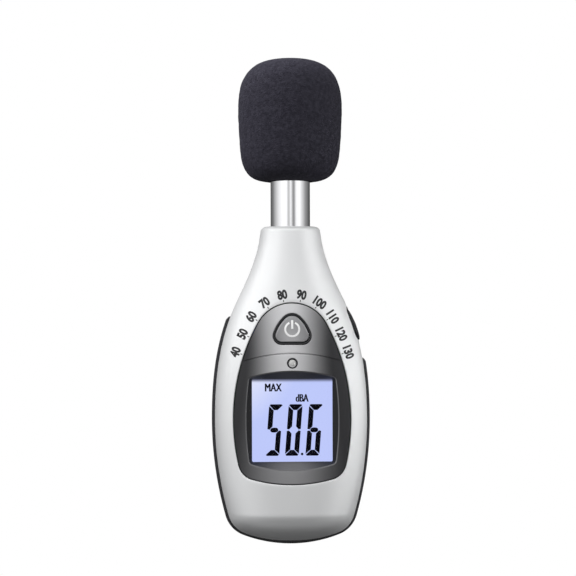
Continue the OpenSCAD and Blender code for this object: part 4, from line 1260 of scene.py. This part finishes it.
# ---- side button
def side_button_piece():
    """The button's face on the flank: a stadium seen from the side, whose rows step in from a
    skirt over a rolled edge to a bulge that is fuller at its lower end."""
    inset = column(0.0, 0.0, 0.06, 0.2, 0.45, 0.8, 1.2, 1.6, 2.0, 2.4, 2.7)
    sink = column(3.0, 0.62, 0.42, 0.26, 0.14, 0.06, 0.02, 0.0, 0.0, 0.0, 0.0)
    y, z = side_stadium(SIDE_W / 2 - inset, 96)
    t = np.clip((z - (SIDE_Z - SIDE_H / 2)) / SIDE_H, 0, 1)
    bulge = SIDE_BULGE * np.sin(np.pi / 2 * np.minimum(1, (1 - t) * 1.6))
    points = xyz(half_width(z) + bulge - SIDE_SUNK - sink, y, z)
    middle = points[-1].mean(axis=0)[None]
    return [grid(points, SIDE_INSIDE), fan(points[-1], middle, (1, 0, 0))]


side_key = make_piece("side_key", side_button_piece(), "side_button", side_plastic,
                      smooth_angle=60)
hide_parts("side_button")


# ---- barrel and windscreen
BARREL_PROFILE = [
    (TUBE_R - TUBE_WALL, TUBE_TOP - 4), (TUBE_R - TUBE_WALL, TUBE_TOP),
    (TUBE_R - TUBE_EDGE, TUBE_TOP), (TUBE_R, TUBE_TOP - TUBE_EDGE),
    *((TUBE_R, z) for z in np.linspace(TUBE_TOP - 2 * TUBE_EDGE, TUBE_FOOT + 0.2, 12)),
    (TUBE_R, TUBE_BURIED),
]
barrel = make_piece("barrel", [grid(xyz(*turned(BARREL_PROFILE, 256)), (0, 0, 118))],
                    "housing", tube_metal)
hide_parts("microphone_tube")


def smooth_noise(rows, columns, passes, seed):
    """Seeded noise on a grid that closes on itself across, softened by averaging each point
    with its neighbours passes times, and scaled to run from about -1 to 1."""
    field = np.random.default_rng(seed).standard_normal((rows, columns))
    for _ in range(passes):
        field = (2 * field + np.roll(field, 1, 1) + np.roll(field, -1, 1)) / 4
        up = np.vstack([field[1:], field[-1:]])
        down = np.vstack([field[:1], field[:-1]])
        field = (2 * field + up + down) / 4
    return field / np.abs(field).max()


def windscreen_profile():
    """Radius against height: below the waist a slight taper that rounds in at the foot, above
    it a full dome; then the foot and the bore, which closes at its top."""
    foot, waist, top = FOAM_Z
    u = np.sin(np.linspace(0, np.pi / 2, 110))
    low_r = FOAM_R * (1 - FOAM_TAPER * u) * rounded(u, FOAM_FOOT_N)
    low = np.column_stack([low_r, waist - (waist - foot) * u])
    low = low[low_r > FOAM_R * FOAM_FOOT_SHARE][::-1]
    dome = np.column_stack([FOAM_R * rounded(u, FOAM_DOME_N), waist + (top - waist) * u])
    dome = dome[dome[:, 0] > 0.2]
    bore_r, bore_z = FOAM_BORE
    bore = np.array([[0.2, bore_z], [bore_r * 0.9, bore_z], [bore_r, bore_z - 0.3],
                     [bore_r, foot + 0.9], [bore_r + 0.25, foot + 0.3], [bore_r + 0.8, foot]])
    return np.vstack([bore, low, dome[1:]])


def windscreen_piece():
    """The profile turned round the barrel's axis, with a shallow unevenness over the foam."""
    profile = windscreen_profile()
    rows = len(profile)
    steps = 320
    a = full_turn(steps)
    fast = FOAM_FAST * smooth_noise(rows, steps, passes=5, seed=7)
    slow = FOAM_SLOW * smooth_noise(rows, steps, passes=60, seed=11)
    outside = (np.arange(rows) > 5)[:, None]
    weight = np.clip((profile[:, :1] - FOAM_EVEN_R) / 3, 0, 1) * outside
    r = profile[:, :1] + (fast + slow - FOAM_INWARD) * weight
    points = xyz(r * np.cos(a), r * np.sin(a), profile[:, 1:])
    return [grid(points, (0, 0, 141)),
            fan(points[-1], np.array([[0, 0, FOAM_Z[2] - 0.1]]), (0, 0, 1)),
            fan(points[0], np.array([[0, 0, FOAM_BORE[1]]]), (0, 0, -1))]


windscreen = make_piece("foam_windscreen", windscreen_piece(), "windscreen", foam_black,
                        smooth_angle=0)
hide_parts("windscreen")


# ---- rear case
def node_surface(name):
    """The faces of a CAD node, as vertices in the drawing's millimetres and faces."""
    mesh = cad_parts[name].data
    faces = [list(face.vertices) for face in mesh.polygons]
    return triples(mesh.vertices, "co") / MM + ORIGIN, faces


rear = make_piece("rear_case", [node_surface("rear_shell")], "housing", dark_shell,
                  weld=0.003, smooth_angle=20)
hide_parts("rear_shell")


# ---- materials of the CAD's nodes
def dress(names, material):
    """Gives a material to the nodes whose names stand in one string."""
    for name in names.split():
        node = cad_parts[name]
        for place in node.material_slots:
            place.material = material
        if not node.material_slots:
            node.data.materials.append(material)


# The nodes, then what finish is told: a name, two colours, roughness and anything else.
METAL = {"metallic": 1.0, "grain": (4000.0, 0.1)}
INNER = [
    ("microphone_capsule crystal", "capsule_metal", (150, 150, 152), (130, 130, 132), 0.3, METAL),
    ("microphone_leads", "signal_lead", (220, 180, 60), (200, 160, 50), 0.45, {}),
    ("circuit_board", "board_lacquer", (28, 92, 58), (20, 74, 48), 0.35,
     {"mottle": (400.0, 0.8)}),
    ("processor amplifier_chip battery_snap", "chip_plastic", (32, 32, 34), (24, 24, 26), 0.5,
     {}),
    ("capacitors", "capacitor_sleeve", (60, 66, 92), (48, 52, 76), 0.35, {}),
    ("level_trimmer", "trimmer_plastic", (44, 86, 168), (34, 70, 140), 0.4, {}),
    ("board_screws case_screws", "screw_steel", (168, 168, 172), (140, 140, 146), 0.28,
     {"metallic": 1.0, "grain": (3000.0, 0.15)}),
    ("battery", "battery_sleeve", (58, 84, 140), (44, 66, 116), 0.3, {"mottle": (120.0, 0.7)}),
    ("battery_lead_plus", "supply_lead", (178, 30, 30), (150, 24, 24), 0.4, {}),
    ("battery_lead_minus", "return_lead", (24, 24, 26), (18, 18, 20), 0.4, {}),
    ("door_pad", "pad_foam", (66, 66, 70), (50, 50, 54), 0.9, {"grain": (2500.0, 0.8)}),
    ("tripod_insert", "insert_brass", (196, 160, 92), (176, 140, 78), 0.28, METAL),
    ("power_switch side_switch", "switch_plastic", (40, 40, 43), (32, 32, 34), 0.45, {}),
    ("power_plunger side_plunger", "plunger_plastic", (190, 190, 192), (176, 176, 178), 0.4, {}),
    ("zebra_strip", "contact_strip", (206, 150, 160), (190, 132, 144), 0.5,
     {"mottle": (2500.0, 0.8)}),
    ("lcd_backlight", "light_guide", (238, 240, 244), (226, 228, 234), 0.25, {}),
]
for names, *look, settings in INNER:
    dress(names, finish(*look, **settings))

OUTER = {
    "front_shell": silver_paint, "rear_shell battery_door": dark_shell,
    "grip_band": grip_rubber, "neck_seal power_seal led_ring": seal_rubber,
    "side_button": side_plastic, "microphone_tube microphone_grid": tube_metal,
    "display_panel": panel_painted_light, "power_button": key_painted_light, "display_window": clear_pane,
    "lcd_glass": lit_display, "status_led": light_cap, "windscreen": foam_black,
}
for names, material in OUTER.items():
    dress(names, material)


# ---- camera, lamps, floor, world
def to_frame(x, y, z):
    """A place in the drawing as a place in the scene, in metres."""
    return Vector(((x - ORIGIN[0]) * MM, (y - ORIGIN[1]) * MM, (z - ORIGIN[2]) * MM))


def stand(obj, place, target, roll=0.0):
    """Puts a camera or a lamp at a place in the drawing, turned towards the target, and rolls
    it by that many degrees."""
    obj.location = to_frame(*place)
    look = to_frame(*target) - obj.location
    turn = Quaternion(look.normalized(), math.radians(roll))
    obj.rotation_mode = "QUATERNION"
    obj.rotation_quaternion = turn @ look.to_track_quat("-Z", "Y")


CAMERA_AWAY = 480.0
FIELD_WIDTH = 193.0
SENSOR = 36.0
camera_data = bpy.data.cameras.new("camera")
camera_data.sensor_width = SENSOR
camera_data.lens = SENSOR * CAMERA_AWAY / FIELD_WIDTH
camera_data.clip_start = 0.01
camera_data.clip_end = 10.0
camera = add_object("camera", camera_data)
stand(camera, (-17.0, -CAMERA_AWAY, 81.0), (-0.84, 0.0, 85.4), roll=0.18)
bpy.context.scene.camera = camera


def lamp(name, place, target, size, power, spread=180.0):
    """A soft rectangular lamp at a place in the drawing, turned towards the target, with its
    light kept inside the spread, in degrees."""
    data = bpy.data.lights.new(name, "AREA")
    data.shape = "RECTANGLE"
    data.size = size[0] * MM
    data.size_y = size[1] * MM
    data.energy = power
    data.spread = math.radians(spread)
    obj = add_object(name, data)
    stand(obj, place, target)
    obj.visible_glossy = False


lamp("left_window", (-490, -60, 300), (0, 0, 90), size=(240, 320), power=2.8)
lamp("right_window", (470, -100, 310), (0, 0, 90), size=(200, 320), power=0.15)
lamp("right_side", (225, -10, 62), (20, 0, 52), size=(60, 100), power=0.052, spread=60.0)
lamp("top_soft", (0, -400, 400), (0, 0, 80), size=(300, 200), power=1.8)
lamp("top_back", (-60, 60, 420), (0, 0, 150), size=(200, 120), power=0.9)

FLOOR = ((-420, -420, -34), (420, -420, -34), (420, 70, -34), (-420, 70, -34))
floor_mesh = bpy.data.meshes.new("floor")
floor_mesh.from_pydata([to_frame(*corner)[:] for corner in FLOOR], [], [(0, 1, 2, 3)])
floor_mesh.materials.append(finish("floor_paper", (238, 238, 238), (232, 232, 232), 0.9,
                                   grain=(1500.0, 0.05)))
floor = add_object("floor", floor_mesh)
floor.visible_glossy = False
floor.visible_diffuse = False


GLOSS_ROOM = [
    (-180, 0.1), (-150, 0.14), (-122, 0.25), (-95, 0.7), (-70, 1.15), (-45, 1.5), (-25, 1.45),
    (-13, 0.7), (-8, 0.75), (-2, 1.2), (3, 1.2), (13, 0.4), (21, 0.4), (32, 1.25), (52, 1.5),
    (68, 1.0), (95, 0.42), (120, 0.22), (150, 0.06), (180, 0.1),
]
GLOSS_HEIGHT = [(-1.0, 0.5), (-0.85, 0.2), (-0.55, 0.2), (-0.24, 0.6), (0.0, 0.88), (0.24, 1.1),
                (0.45, 1.15), (1.0, 0.9)]
PLAIN_HEIGHT = [(-1.0, 0.32), (-0.3, 0.06), (0.15, 0.28), (1.0, 0.4)]


def studio_world():
    """White to the camera. Gloss sees a room of soft bright and dark upright fields that
    darkens below; other light comes from a plain pale room."""
    world = bpy.data.worlds.new("studio")
    bpy.context.scene.world = world
    world.use_nodes = True
    tree = world.node_tree
    generated = add_node(tree, "TexCoord", {}).outputs["Generated"]
    x, y, z = add_node(tree, "SeparateXYZ", {0: generated}).outputs
    heading = maths(tree, "ARCTAN2", x, maths(tree, "MULTIPLY", y, -1.0))
    turn = map_range(tree, heading, -math.pi, math.pi)
    level = map_range(tree, z, -1.0, 1.0)
    room = mix_colours(tree, 1.0, colour_ramp(tree, turn, GLOSS_ROOM, -180, 180),
                       colour_ramp(tree, level, GLOSS_HEIGHT, -1, 1), blend="MULTIPLY")
    gloss = add_node(tree, "Background", {"Color": room})
    white = add_node(tree, "Background", {"Color": (1, 1, 1, 1)})
    plain = tree.nodes["Background"]
    feed(tree, plain, {"Color": colour_ramp(tree, level, PLAIN_HEIGHT, -1, 1)})
    rays = add_node(tree, "LightPath", {}).outputs
    lit = add_node(tree, "MixShader", {
        0: rays["Is Glossy Ray"], 1: plain.outputs["Background"], 2: gloss.outputs["Background"]})
    seen = add_node(tree, "MixShader", {
        0: rays["Is Camera Ray"], 1: lit.outputs["Shader"], 2: white.outputs["Background"]})
    feed(tree, tree.nodes["World Output"], {"Surface": seen.outputs["Shader"]})


studio_world()
bpy.context.scene.view_settings.view_transform = "Standard"
